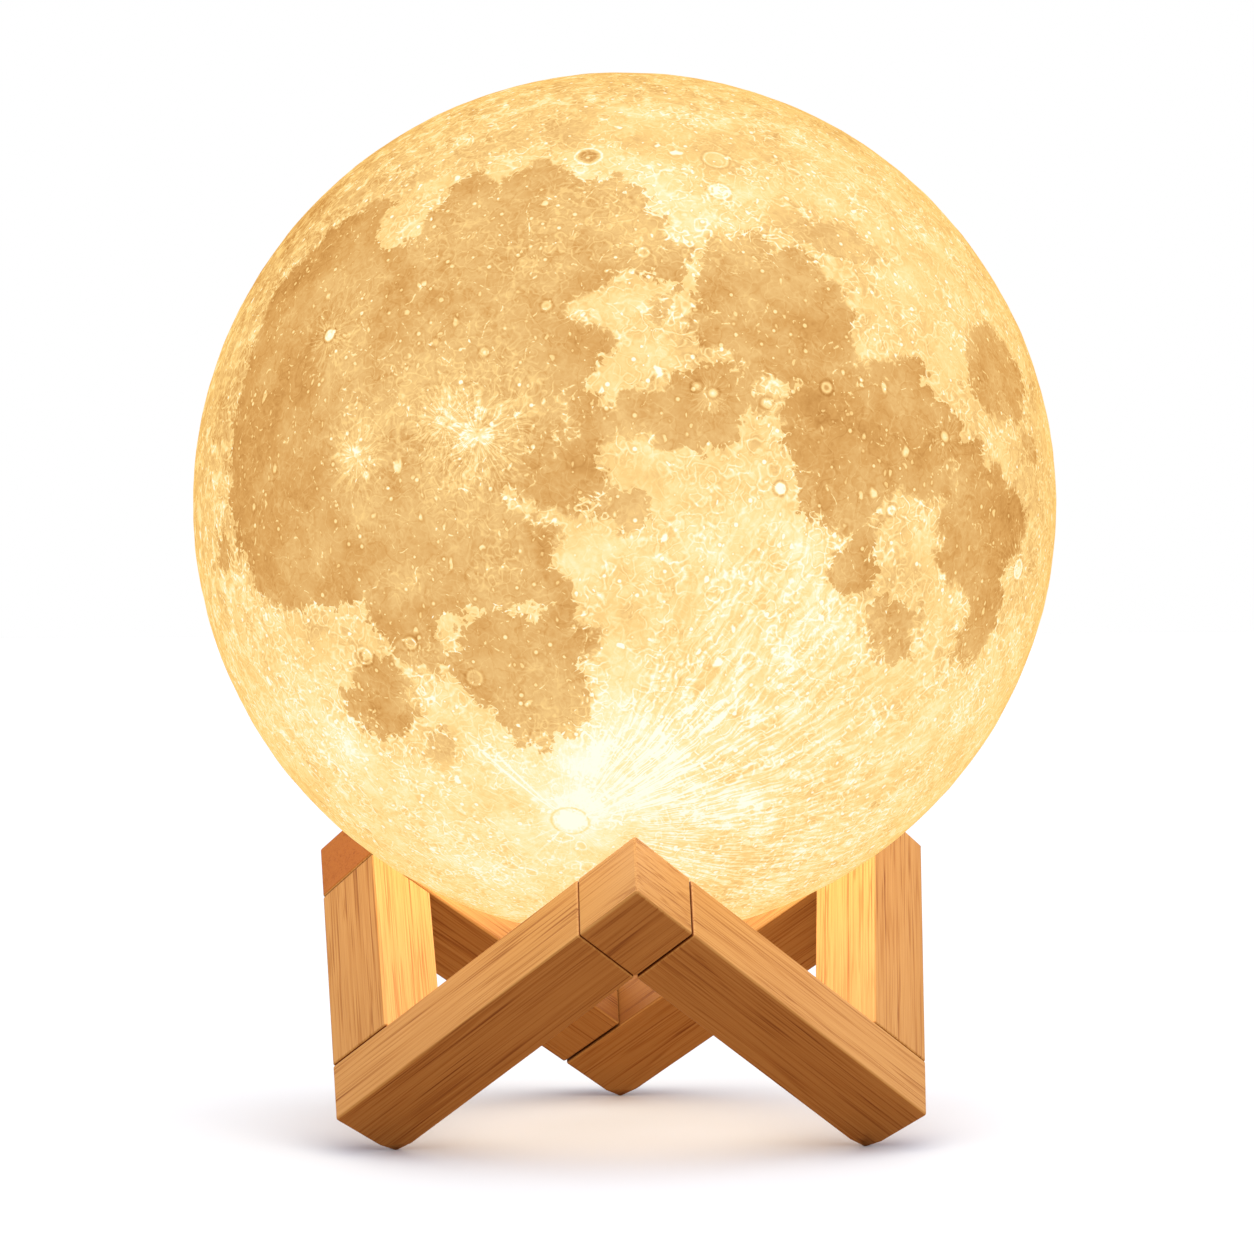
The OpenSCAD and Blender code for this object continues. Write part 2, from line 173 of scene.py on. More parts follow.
class Paint(Nodes):
    # One material: a surface, whose sockets are fed at the end, and the few kinds of node behind it
    def __init__(self, name):
        self.material = bpy.data.materials.new(name)
        super().__init__(self.material)
        self.surface = self.tree.nodes.new("ShaderNodeBsdfPrincipled")
        shown = Signal(self, self.surface.outputs["BSDF"])
        self.make("ShaderNodeOutputMaterial", {}, {"Surface": shown}, None)

    def vector(self, operation, first, second=(0.0, 0.0, 0.0), output=0):
        return self.make("ShaderNodeVectorMath", {"operation": operation}, {0: first, 1: second}, output)

    def scaled(self, first, factor):
        return self.make("ShaderNodeVectorMath", {"operation": "SCALE"}, {0: first, "Scale": factor})

    def objectPlace(self):
        return self.make("ShaderNodeTexCoord", {}, {}, "Object")

    def attribute(self, name, output="Vector"):
        return self.make("ShaderNodeAttribute", {"attribute_name": name}, {}, output)

    def noise(self, place, size, detail=2.0, roughness=0.5, distortion=0.0, output=0):
        sockets = {"Vector": place, "Scale": 1 / size, "Detail": detail, "Roughness": roughness,
                   "Distortion": distortion}
        return self.make("ShaderNodeTexNoise", {"noise_dimensions": "3D"}, sockets, output)

    def cells(self, place, size, output="Distance", feature="F1", jitter=1.0):
        sockets = {"Vector": place, "Scale": 1 / size, "Randomness": jitter}
        return self.make("ShaderNodeTexVoronoi", {"feature": feature}, sockets, output)

    def step(self, value, low, high, bottom=0.0, top=1.0):
        # Smooth step from bottom to top while value goes from low to high
        sockets = {"Value": value, "From Min": low, "From Max": high, "To Min": bottom, "To Max": top}
        return self.make("ShaderNodeMapRange", {"interpolation_type": "SMOOTHSTEP"}, sockets)

    def lines(self, place, size, width, middle=0.5, detail=0.0):
        # Thin curves where a noise passes its middle value
        return self.step(abs(self.noise(place, size, detail, 0.5) - middle), width, 0.0)

    def ramp(self, value, stops):
        return self.make("ShaderNodeValToRGB", {"stops": stops}, {0: value})

    def blend(self, factor, first, second, way="MIX"):
        # Sockets 6 and 7 of the node are its two colours, and output 2 is the mixed one
        settings = {"data_type": "RGBA", "blend_type": way}
        return self.make("ShaderNodeMix", settings, {0: factor, 6: first, 7: second}, 2)

    def tinted(self, factor, colour, tint):
        return self.blend(factor, colour, self.blend(1.0, colour, tint, "MULTIPLY"))

    def part(self, colour, which):
        return self.make("ShaderNodeSeparateColor", {}, {0: colour}, which)

    def bump(self, height, depth, strength=1.0):
        node = self.make("ShaderNodeBump", {}, {"Height": height, "Distance": depth, "Strength": strength})
        self.feed(self.surface.inputs["Normal"], node)

    def finish(self, **sockets):
        for name, value in sockets.items():
            self.feed(self.surface.inputs[name], value)
        return self.material


def dress(piece, material):
    piece.data.materials.clear()
    piece.data.materials.append(material)


def meshPiece(name, places, faces, normals=None):
    mesh = bpy.data.meshes.new(name)
    mesh.from_pydata(np.asarray(places, float).tolist(), [], [list(map(int, face)) for face in faces])
    mesh.update()
    mesh.polygons.foreach_set("use_smooth", np.ones(len(mesh.polygons), bool))
    if normals is not None:
        mesh.normals_split_custom_set_from_vertices(np.asarray(normals, float).tolist())
    return addItem(name, mesh)


def setAttribute(piece, name, values):
    values = np.asarray(values, np.float32)
    kind = "FLOAT" if values.ndim == 1 else "FLOAT_VECTOR"
    layer = piece.data.attributes.new(name, kind, "POINT")
    layer.data.foreach_set("value" if values.ndim == 1 else "vector", values.ravel())


def gridFaces(index):
    # Four-sided faces between the neighbours in a grid of point numbers
    return np.stack([index[:-1, :-1], index[1:, :-1], index[1:, 1:], index[:-1, 1:]], -1).reshape(-1, 4)


def darkened(colour, share):
    return tuple(part * share for part in colour[:3]) + (1.0,)


def unit(v):
    v = np.asarray(v, float)
    return v / np.linalg.norm(v, axis=-1, keepdims=True)


# Moon globe

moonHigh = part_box("moon_shell")[1]
globe = {
    "radius": 0.075,
    "wall": 0.0018,
    "openingRadius": 0.021,
    "middle": (0.0, 0.0, moonHigh.z - 0.075),
    "faceTurned": -1.57,
    "frontColumns": 300,
    "backColumns": 140,
    "rows": 196,
    "innerRows": 12,
    "mareDepth": 0.00022,
    "roughness": 0.00007,
    "coastWidth": 1.4,
    "rimFade": 4,
    "plainReach": 95,
    "outside": -30,
    "rollingPitch": (9, 3.5),
    "rollingShare": (0.6, 0.4),
    "rollingWaves": 60,
    "rollingBase": 1.6,
    "rollingLessOnPlains": 0.7,
    "waveSpread": (0.7, 1.4),
    "nearRange": (-12, 3),
    "nearSharpness": 1.5,
    "fieldRange": (-8, 8),
    "seed": 11,
    "calmPlace": (-3, -38),
    "calmReach": (13, 9),
}

# Outlines of the dark plains, each with how dark it is, in degrees right and up from the middle
# of the face along the surface
plains = {
    "west": (1.0, [
        (-8.5, 46.9), (-10.7, 50), (-13.5, 48.6), (-15.7, 46.7), (-17.9, 44.8), (-20.9, 47.1),
        (-24.8, 46.5), (-25.4, 44.2), (-25.6, 41.4), (-28, 40.7), (-29.5, 38.3), (-31.8, 36.5),
        (-36.1, 37), (-36.2, 40.3), (-35.5, 44), (-34.2, 45.3), (-38.1, 47), (-44.8, 45.4),
        (-51.3, 38.5), (-57.4, 32.1), (-59.3, 25.3), (-59.8, 18.6), (-60.9, 13.1), (-60.6, 5.1),
        (-60.2, -1.9), (-57.6, -7.1), (-55.2, -11.3), (-51.3, -14.2), (-48, -14.8), (-42.8, -13.9),
        (-38, -13.1), (-34.5, -12.3), (-33.8, -15.3), (-30, -18), (-26.1, -17.8), (-22.6, -13.9),
        (-19.6, -13), (-15.7, -12.6), (-11.9, -11.7), (-10, -13.5), (-8.1, -11.9), (-6.6, -10.9),
        (-8, -8.5), (-9.8, -6.5), (-8.1, -4), (-9.5, -2.1), (-13, -1.1), (-14.9, 1.6), (-15.6, 5.1),
        (-11.8, 6.8), (-8.6, 7.7), (-6.9, 10.2), (-8.6, 12.4), (-9.1, 13.7), (-6.3, 14.7),
        (-4.2, 15.7), (-3.2, 17.5), (-1, 18.8), (-1.5, 20.3), (-3.5, 21.4), (-5.8, 23.1),
        (-6.9, 25.8), (-3.3, 27.3), (-2.3, 29.2), (0.8, 30.3), (4.4, 29.8), (6.9, 28.1),
        (8.3, 30.5), (9.4, 32.3), (8.4, 34.1), (5.5, 35), (4.5, 37.5), (3, 40.5), (1.4, 43),
        (-0.6, 45.4), (-3.6, 44.9), (-5.8, 44.2)]),
    "southWest": (0.95, [
        (-21.7, -13.8), (-15.7, -12.6), (-11.7, -14.3), (-9.6, -12), (-6.6, -11.4), (-6.2, -13.7),
        (-3.2, -15.2), (-3.6, -17.5), (-5.5, -18.5), (-6.1, -20.7), (-5.4, -23.9), (-4.6, -26.9),
        (-6.7, -29), (-9.8, -28.8), (-11, -31.5), (-13.6, -31.2), (-15.9, -28.5), (-18.1, -25.5),
        (-19.7, -24.2), (-20.3, -21.8), (-22.5, -20.5), (-20.9, -17.5)]),
    "round": (0.95, [
        (-37.9, -22.7), (-34.3, -20.5), (-30.6, -20.9), (-29.3, -23), (-29.1, -25.3),
        (-28.3, -27.9), (-30.3, -31.1), (-33.7, -32.4), (-36.8, -31), (-39.3, -28.9),
        (-39.6, -25.8)]),
    "roundLink": (0.6, [
        (-30, -18), (-25.3, -17.2), (-23.2, -18.9), (-25.4, -22.1), (-27, -21.1), (-29.6, -20.2)]),
    "serene": (0.92, [
        (9.9, 30.6), (10.7, 33.3), (12, 35.6), (14.8, 36.6), (17.5, 35.6), (18.8, 34.1), (20.8, 34),
        (22.9, 34.9), (24.6, 34), (26.1, 32.3), (26.8, 30.6), (28.7, 29.8), (29.7, 27.6),
        (30.4, 25.8), (30.2, 22.8), (30.2, 20.3), (30.6, 17.8), (28.6, 16.3), (25, 15.7),
        (20.8, 15.6), (17.7, 16.5), (15.6, 17.4), (13.9, 19), (12.6, 19.9), (10.3, 20.2),
        (9.2, 21.8), (9, 25.2)]),
    "northEast": (0.5, [
        (18.2, 41.1), (23.3, 42.6), (24.7, 40.8), (27.1, 39.1), (32.7, 41), (34.5, 38.4),
        (37.6, 36.6), (36.4, 34.3), (32.3, 33.9), (29.2, 34.3), (27.1, 35.2), (25.1, 35.7),
        (23.3, 35.9), (21.1, 37), (19.2, 38.6)]),
    "east": (1.05, [
        (19.6, 13), (22.1, 14), (23.8, 15.6), (27, 16.2), (29.7, 17.2), (31.6, 18.4), (34.4, 18.7),
        (37.5, 19.8), (40.8, 20.8), (42.1, 19.8), (40.8, 17.3), (41.8, 15.1), (42.6, 13.4),
        (45.7, 12.8), (47.3, 11.1), (47.7, 9), (46.3, 4.9), (45, 1.8), (42.8, 0.3), (40.3, 0.4),
        (37.1, 0.9), (35.2, 1.8), (34.1, 0.4), (32.9, -1.6), (32.2, -3.8), (32.4, -6.4), (32, -9.4),
        (30.5, -11.1), (28.2, -10.6), (26.3, -9.2), (26.8, -6.8), (28.1, -4.9), (27.3, -2.9),
        (24.5, -1.6), (22.6, -0.3), (22.2, 1.6), (21.2, 3.5), (20.3, 6), (19.9, 8.5), (20.5, 10.7),
        (18.7, 11.9)]),
    "southEast": (0.95, [
        (47.7, 8.7), (50.6, 8.2), (52.7, 6), (56.1, 4.3), (58.4, 2), (62, 0.2), (63.1, -3),
        (61.7, -6.8), (58.7, -8.8), (56.8, -11.1), (57.7, -14.9), (56.7, -18.6), (54.6, -20.9),
        (52.7, -23.2), (50.7, -24.6), (47.6, -22.2), (48.3, -19.3), (51.2, -15.9), (48.9, -12.7),
        (45.3, -10.2), (43.4, -7.9), (44.2, -5.8), (43.2, -2.5), (44.5, 0.3), (46, 2.1),
        (47.1, 5.2)]),
    "small": (0.75, [
        (32.1, -13.6), (34.5, -12.6), (37.8, -13.1), (39.9, -14.1), (39.7, -16.8), (39.5, -19),
        (38.9, -21.2), (36.8, -22.2), (34.1, -20.5), (31.7, -19.3), (31, -16.5)]),
    "oval": (0.86, [
        (51, 23.7), (53.2, 26.6), (57.9, 29.1), (61.7, 27.7), (64.6, 24.7), (66.2, 19.7),
        (63.7, 15), (58.6, 12), (54.5, 13.2), (52, 15.2), (50.8, 18.9)]),
    "northBand": (0.22, [
        (-11.6, 54), (-6.3, 58.1), (2.2, 59.6), (11.2, 56.5), (18.4, 57.1), (24.9, 56.6),
        (27.3, 53.9), (24.5, 50), (18.1, 49.1), (12.1, 45.4), (7.1, 47.8), (3.2, 51), (-2.9, 53.8),
        (-7.9, 52.2)]),
    "northWestBand": (0.22, [
        (-35.7, 50.2), (-28.5, 55.7), (-19.5, 57.2), (-12.3, 56.2), (-12.8, 53.2), (-18.8, 52.4),
        (-24.8, 51.5), (-27.9, 48.7)]),
    "middle": (0.9, [
        (-8.1, 13.7), (-3.7, 12.9), (-2.5, 11.6), (1.7, 13.6), (3.7, 15.2), (8.2, 15), (10, 17.1),
        (12.8, 17.7), (15.3, 17), (17.3, 14.4), (18.9, 12.9), (16.7, 12.4), (14.9, 11.3),
        (13.6, 9.8), (14.3, 7.8), (11.8, 6.8), (9.1, 6.4), (6.1, 7), (3.2, 8.7), (-0.2, 9.6),
        (-2.4, 8.2), (-3.4, 5.7), (-2.7, 3), (-3.6, 0.6), (-7.3, -0.4), (-11.1, 0.4), (-14, 2.1),
        (-15.3, 4.6), (-12, 6.5), (-8.6, 7.5), (-6.4, 9.9)]),
    "centre": (0.7, [
        (-3.2, 1.1), (-1, 2.1), (1.7, 2.3), (3.4, 0.5), (2.4, -1.3), (0.6, -3), (-1.6, -1.5),
        (-2.9, -0.4)]),
    "notch": (0.7, [
        (2.9, 25.2), (5.6, 25.8), (5.3, 24.4), (3.5, 23.3)]),
    "westLimb": (0.9, [
        (-65.9, -5.7), (-63.9, -4.6), (-62.4, -6.6), (-62.1, -9), (-64.1, -10.6), (-66, -8.7)]),
    "eastLimb": (0.5, [
        (64, 10.1), (66.5, 11), (69.5, 8.9), (68.2, 6.8), (65, 7.8)]),
    "southPatch": (0.45, [
        (-26.3, -32), (-24.2, -30.5), (-23.1, -32.7), (-23.9, -35.5), (-25.7, -35.4), (-27.3, -34)]),
}

# The same for the far side, from its own middle
farPlains = {
    "north": (0.8, [
        (18, 25), (19.5, 29.5), (24, 32), (29, 31.5), (32.5, 28), (32, 23.5), (28, 21), (24.5, 22),
        (21, 21.5)]),
    "west": (0.95, [
        (-51, -17), (-47.5, -14.5), (-43.5, -16), (-43, -20.5), (-46, -24.5), (-50.5, -24),
        (-53, -20.5)]),
    "south": (0.34, [
        (-24, -36), (-14, -31), (-3, -33), (7, -30), (18, -34), (23, -42), (18, -50), (9, -56),
        (-4, -55), (-14, -52), (-24, -46)]),
    "southLow": (0.75, [
        (-8, -40), (-2, -37), (5, -39), (7, -44), (2, -48), (-5, -47), (-9, -44)]),
    "rim": (0.7, [
        (70, -12), (74, -9), (79, -12), (80, -18), (76, -23), (71, -20), (72, -16)]),
    "small": (0.6, [
        (-9, 12), (-5, 14.5), (-1, 12), (-2, 8), (-6.5, 7.5)]),
}


def surfaceDegrees(directions, turned):
    # Angle from the middle of the face, split into right and up: the map that keeps radial distance
    turn = math.radians(turned)
    ahead = np.array([math.sin(turn), -math.cos(turn), 0.0])
    right = np.array([math.cos(turn), math.sin(turn), 0.0])
    x, y, z = directions @ right, directions[:, 2], directions @ ahead
    angle = np.degrees(np.arccos(np.clip(z, -1, 1)))
    flat = np.maximum(np.hypot(x, y), 1e-9)
    return np.stack([angle * x / flat, angle * y / flat], -1)


def outlineDistance(points, outline):
    # Least distance to the outline's edges, positive inside by counting crossings
    best = np.full(len(points), 1e9)
    inside = np.zeros(len(points), bool)
    corners = np.asarray(outline, float)
    for start, end in zip(corners, np.roll(corners, -1, 0)):
        along = end - start
        share = np.clip(((points - start) @ along) / (along @ along), 0, 1)
        best = np.minimum(best, np.linalg.norm(points - start - share[:, None] * along, axis=1))
        crosses = (start[1] > points[:, 1]) != (end[1] > points[:, 1])
        height = along[1] if abs(along[1]) > 1e-12 else 1e-12
        inside ^= crosses & (points[:, 0] < start[0] + (points[:, 1] - start[1]) * along[0] / height)
    return np.where(inside, best, -best)


def waves(directions, rng, count, pitch):
    # Sum of sine waves in random directions, about -1 to 1
    ways = unit(rng.normal(size=(count, 3))) * (2 * math.pi / math.radians(pitch))
    ways *= rng.uniform(*globe["waveSpread"], (count, 1))
    return np.sin(directions @ ways.T + rng.uniform(0, 2 * math.pi, count)).sum(1) / math.sqrt(count)


def makeMoonShell(values):
    # Ball of columns round Z and rows from the top to the opening, the front columns closer together,
    # then across the rim and back up the inner wall to its own top
    radius, wall = values["radius"], values["wall"]
    front = np.linspace(-180, 0, values["frontColumns"], endpoint=False)
    back = np.linspace(0, 180, values["backColumns"], endpoint=False)
    columns = np.radians(np.concatenate([front, back]))
    openAngle = math.pi - math.asin(values["openingRadius"] / radius)
    innerOpen = math.pi - math.asin(values["openingRadius"] / (radius - wall))
    rows = np.linspace(0, openAngle, values["rows"] + 1)[1:]
    innerRows = np.linspace(innerOpen, 0, values["innerRows"] + 1)[:-1]
    polar = np.concatenate([rows, innerRows])
    outer = np.concatenate([np.ones(len(rows), bool), np.zeros(len(innerRows), bool)])
    a, p = np.meshgrid(columns, polar)
    directions = np.stack([np.sin(p) * np.cos(a), np.sin(p) * np.sin(a), np.cos(p)], -1).reshape(-1, 3)
    isOuter = np.repeat(outer, len(columns))
    directions = np.concatenate([directions, [[0, 0, 1], [0, 0, 1]]])
    isOuter = np.concatenate([isOuter, [True, False]])
    degrees = surfaceDegrees(directions, values["faceTurned"])
    field = np.full(len(directions), float(values["outside"]))
    depth = np.zeros(len(directions))
    weight = np.full(len(directions), 1e-6)
    behind = surfaceDegrees(directions, values["faceTurned"] + 180)
    # Where plains meet, the darkness is their mean, weighted by how far inside each the place is
    mapped = [(degrees, *entry) for entry in plains.values()]
    mapped += [(behind, *entry) for entry in farPlains.values()]
    for seen, dark, outline in mapped:
        reached = np.hypot(*seen.T) < values["plainReach"]
        distance = np.where(reached, outlineDistance(seen, outline), values["outside"])
        near = np.exp(np.clip(distance, *values["nearRange"]) * values["nearSharpness"])
        depth += dark * near
        weight += near
        field = np.maximum(field, distance)
    depth /= weight
    rng = np.random.default_rng(values["seed"])
    rolling = sum(waves(directions, rng, values["rollingWaves"], pitch) * share
                  for pitch, share in zip(values["rollingPitch"], values["rollingShare"]))
    # Plains lie lower, by a step that is half done at the coast
    sunk = 1 / (1 + np.exp(-field / values["coastWidth"] * 2))
    uneven = values["rollingBase"] + rolling * (1 - values["rollingLessOnPlains"] * sunk)
    inward = values["mareDepth"] * sunk * depth + values["roughness"] * uneven
    fromOpening = openAngle - np.arccos(np.clip(directions[:, 2], -1, 1))
    rimFade = np.clip(fromOpening / math.radians(values["rimFade"]), 0, 1)
    reach = np.where(isOuter, radius - np.clip(inward, 0, None) * rimFade, radius - wall)
    places = directions * reach[:, None] + np.array(values["middle"])
    count, lines = len(columns), len(polar)
    i, j = np.meshgrid(np.arange(count), np.arange(lines - 1))
    k = (i + 1) % count
    above, below = j * count, (j + 1) * count
    quads = np.stack([above + i, below + i, below + k, above + k], -1).reshape(-1, 4)
    ring = np.arange(count)
    after = (ring + 1) % count
    topFan = np.stack([np.full(count, lines * count), ring, after], -1)
    last = (lines - 1) * count
    innerFan = np.stack([np.full(count, lines * count + 1), last + after, last + ring], -1)
    piece = meshPiece("moonGlobe", places, [*quads, *topFan, *innerFan])
    setAttribute(piece, "mareField", np.clip(field, *values["fieldRange"]))
    setAttribute(piece, "mareShade", depth)
    setAttribute(piece, "toneShift", softPatches(degrees))
    away = (degrees - values["calmPlace"]) / values["calmReach"]
    setAttribute(piece, "calm", np.exp(-(away ** 2).sum(1)))
    return piece


# Soft patches that lighten or darken the print; the dark ones at the edge of the face, such as at 63 right
# and at -63 and -59 right, are painted shade: degrees right and up, reach right and up, tilt, amount
patches = [
    (-1, 43, 10, 9, 0, 0.17), (-26, 39, 6, 4, 0, 0.08), (-25, 14, 11, 6, 0, 0.13),
    (-22, 2, 7, 4, 0, 0.13), (-15, -6, 4, 5, 0, 0.16), (-28, -10, 4, 3, 0, 0.08),
    (-47, -33, 12, 9, 0, 0.10), (-5, -34, 11, 7, 0, 0.16), (17, -23, 16, 9, 0, 0.08),
    (-16, -55, 9, 10, 0, 0.06), (2, -40, 18, 9, 10, 0.16), (-17, 10, 9, 7, 0, 0.14),
    (-35, 7, 4, 7, 10, 0.14), (-40, 24, 5, 5, 0, 0.10), (-15, 34, 14, 9, 0, 0.10),
    (12, -8, 22, 12, 0, 0.10), (-63, 17, 9, 15, 0, -0.13), (-59, 49, 11, 18, -40, -0.18),
    (-58, -6, 6, 10, 0, -0.09), (-48, 20, 8, 14, 0, -0.05), (-10, 2, 4, 7, 0, -0.13),
    (-3, -13, 6, 5, 0, -0.14), (9, 20, 3, 2, 0, -0.13), (29, 8, 12, 8, 0, -0.06),
    (63, 0, 9, 19, 0, -0.17), (36, -10, 5, 8, 0, -0.13), (-35, -20, 10, 4, 0, -0.12),
    (-5, 12, 4, 3, 30, -0.08), (10, 37, 11, 9, 0, 0.13), (-27, 21, 15, 7, 0, 0.05),
    (-14, 12, 8, 6, 0, 0.05), (-42, 48, 8, 10, -40, -0.08), (-55, 38, 8, 12, -30, -0.05),
    (18, 0, 7, 6, 0, 0.08), (-3, 5, 4, 5, 0, -0.07), (-8, -4, 4, 3, 0, -0.1),
    (44, -14, 6, 9, 0, -0.11), (1, -16, 6, 4, 0, -0.08), (2, -31, 10, 7, 0, 0.1),
    (-10, 60, 9, 7, 0, -0.08), (-44, -18, 5, 3, 0, -0.09), (-28, -10, 3, 3, 0, 0.05),
    (22, 20, 3, 3, 0, 0.06), (18, 35, 4, 4, 0, 0.08), (4, 60, 8, 4, 0, 0.18),
    (-34, -26, 5, 5, 0, -0.05), (19, 26, 9, 8, 0, -0.04), (3, -13, 6, 5, 0, -0.07),
    (-55, 20, 6, 8, 0, 0.04), (29, 60, 14, 6, -15, 0.09), (52, 40, 8, 15, 40, 0.08),
    (-40, 32, 9, 6, 0, 0.06), (-10, 30, 4, 4, 0, 0.06), (-2, 29, 4, 3, 0, -0.08),
    (2, 3, 6, 4, 0, -0.06), (-24, -32, 4, 4, 0, -0.08), (-41, -35, 4, 4, 0, 0.08),
    (-28, -60, 12, 7, 0, 0.07), (20, -61, 8, 6, 0, 0.05), (-41, 13, 7, 7, 0, 0.05),
]


def softPatches(degrees):
    # Sum of bell curves, each exp(-1) of its amount at its reach
    total = np.zeros(len(degrees))
    for right, up, wide, tall, tilt, amount in patches:
        turn = math.radians(tilt)
        dx, dy = degrees[:, 0] - right, degrees[:, 1] - up
        a = (dx * math.cos(turn) + dy * math.sin(turn)) / wide
        b = (dy * math.cos(turn) - dx * math.sin(turn)) / tall
        total += amount * np.exp(-(a ** 2 + b ** 2))
    return total


# Finish of the moon's print: brightness adds up from plains, lines, spots, craters and rays. A noise
# is its size in metres, detail, roughness and distortion; a cut is where a smooth step begins and ends
moonPrint = {
    "ramp": [(0.0, (184, 130, 67)), (0.2, (214, 164, 98)), (0.4, (234, 194, 130)), (0.55, (250, 212, 142)),
             (0.7, (254, 229, 167)), (0.85, (254, 243, 198)), (1.0, (255, 255, 242))],
    "faceWay": (0.0274, -0.9996, 0.0),
    "rightWay": (0.9996, 0.0274, 0.0),
    "push": (0.0030, 2.0, 0.5, 0.0),
    "pushDepth": 0.0026,
    # Ground: broad, middling and fine tones, each on highlands and on plains
    "region": (0.011, 2.0, 0.5),
    "mottle": (0.0045, 4.0, 0.62, 0.4),
    "grain": (0.0007, 2.0, 0.6),
    "regionTone": (0.45, 0.34),
    "mottleTone": (0.46, 0.42),
    "grainTone": 0.14,
    "highTone": 0.60,
    "mareTone": 0.245,
    # Engraved lines: noise, the value that is the middle of a line, half width and light, dark strip
    "crestNoise": ((0.00165, 0.0, 0.5, 0.35), (0.0024, 0.0, 0.5, 0.5), (0.0012, 0.0, 0.5)),
    "crestMiddle": (0.5, 0.47, 0.52),
    "crestWidth": (0.085, 0.075, 0.070),
    "crestLight": (0.26, 0.26, 0.11),
    "broken": (0.0022, 0.0, 0.5),
    "brokenCut": ((0.42, 0.52), (0.60, 0.50)),
    "stripCut": ((0.20, 0.09), (0.18, 0.08)),
    "stripShade": (0.07, 0.06),
    # Coast: how far noises and lines move it in degrees, and how blurred it is
    "coastNoise": ((0.0080, 1.0, 0.5, 0.5), (0.0028, 4.0, 0.62)),
    "coastWander": 3.5,
    "coastRough": 6.5,
    "coastFingers": 2.2,
    "coastShift": 0.5,
    "blurCut": (0.44, 0.62),
    "blurRange": (0.8, 0.16),
    "coastLineCut": (2.6, 0.2),
    "coastLineLift": 0.35,
    # How strong the lines are: in busy parts, in the calm part, on plains that are lit or not
    "busy": (0.0065, 2.0, 0.5),
    "busyCut": (0.34, 0.62),
    "busyRange": (0.75, 0.25),
    "calmShare": 0.5,
    "litPlainCut": (0.0, 0.15),
    "plainLines": (0.50, 0.28),
    # Long curves and chains of dots: size, half width, middle, detail, then their light
    "paleCurve": (0.0052, 0.012, 0.5, 1.0),
    "darkCurve": (0.0061, 0.018, 0.47, 1.0),
    "chainCurve": (0.0070, 0.014, 0.52, 1.0),
    "curveLight": (0.09, 0.07, 0.5),
    "beadSize": 0.0008,
    "beadCut": (0.52, 0.62),
    "curveShare": (0.75, 0.25),
    # Coarser lines near the edge of the face
    "edgeNoise": (0.0034, 1.0, 0.5, 0.5),
    "edgeCut": ((0.050, 0.0), (0.13, 0.05)),
    "edgeLight": (0.20, 0.09),
    "edgeReach": (0.68, 0.42),
    "edgeBehind": (-0.35, -0.02),
    "edgeOnPlains": 0.8,
    # Small spots, one to a cell at most: 0 for upright or the number of a slant (turn in radians,
    # squeeze), cell size, how much the spot's size varies, its least size, light
    "slants": ((0.55, 0.65), (-0.75, 0.6)),
    "spots": ((1, 0.0017, 0.20, 0.02, 0.40), (2, 0.0031, 0.17, 0.01, 0.50),
              (0, 0.0023, 0.20, 0.012, 0.55), (1, 0.0080, 0.10, 0.01, 0.55)),
    "spotPick": (0.15, 0.9),
    "spotCut": (1.0, 0.45),
    "spotHaloCut": (1.7, 1.0),
    "spotHalo": 0.06,
    # Small ringed craters
    "ringCell": 0.0050,
    "ringSizes": (0.24, 0.05),
    "ringWidth": 0.05,
    "ringLight": (0.18, 0.12),
    "ringPick": (0.45, 0.6),
    "ringOnPlains": 0.85,
    # Blots near the edge of the face, more on the left: pale patches on a ground darkened by painted shade
    "blot": (0.0024, 2.0, 0.5),
    "blotCut": (0.48, 0.66),
    "blotTone": (0.26, 0.07),
    "blotSideways": (0.6, -0.6, 0.3, 1.0),
    "blotReach": (0.62, 0.40),
    "blotUp": (-0.75, -0.1),
    # Rays: how much noise bends them, how a wheel of noise is cut, and short strokes of the first crater
    "bend": (0.0042, 1.0, 0.5),
    "wheelSize": 0.55,
    "rayCut": (0.46, 0.62),
    "rayBase": 0.35,
    "rayStart": (0.4, 1.6),
    "raySolid": 0.15,
    "rayNoise": (2.0, 0.6, 0.15),
    "strokeNoise": (1.0, 0.5),
    "strokeCurl": 0.05,
    "strokeAround": 30.0,
    "strokeChange": 0.13,
    "strokeCut": (0.44, 0.60),
    "strokeBase": 0.42,
    "strokeSide": (-0.25, -0.75),
    "strokeEnd": (75, 15),
    "strokeStart": (3, 14),
    "strokeLight": (0.26, 0.18),
    "straightStart": (2.3, 3.6),
    "straightMottle": (1.6, 0.9),
    "straightCore": 0.25,
    # Listed ringed craters, in degrees: how far noise bends them, half width of a ring, and how
    # far outside it its dark outline lies
    "rimWobble": 0.7,
    "rimWidth": 0.30,
    "rimOutline": 0.40,
    # Light of the lamp, which sits low, and painted shade at the edge of the face as seen from the front
    "lowGlowCut": (0.75, -0.95),
    "lowGlow": 0.12,
    "paintedRimShadeCut": (0.62, 0.05),
    "paintedRimShade": 0.04,
    "plainsKeep": 0.35,
    # Surface: a nearly black body, so that the scene's light adds little to the print's own, under a
    # tinted coat that shows more where it is seen aslant
    "bodyShare": 0.95,
    "bodyColour": (0.02, 0.008, 0.002, 1),
    "bumpDepth": 0.00020,
    "bumpStrength": 0.6,
    "roughness": 0.55,
    "emission": 1.0,
    "coatRoughness": 0.7,
    "coatIndex": 1.01,
    "coatTint": (1.0, 0.982, 0.935, 1.0),
}

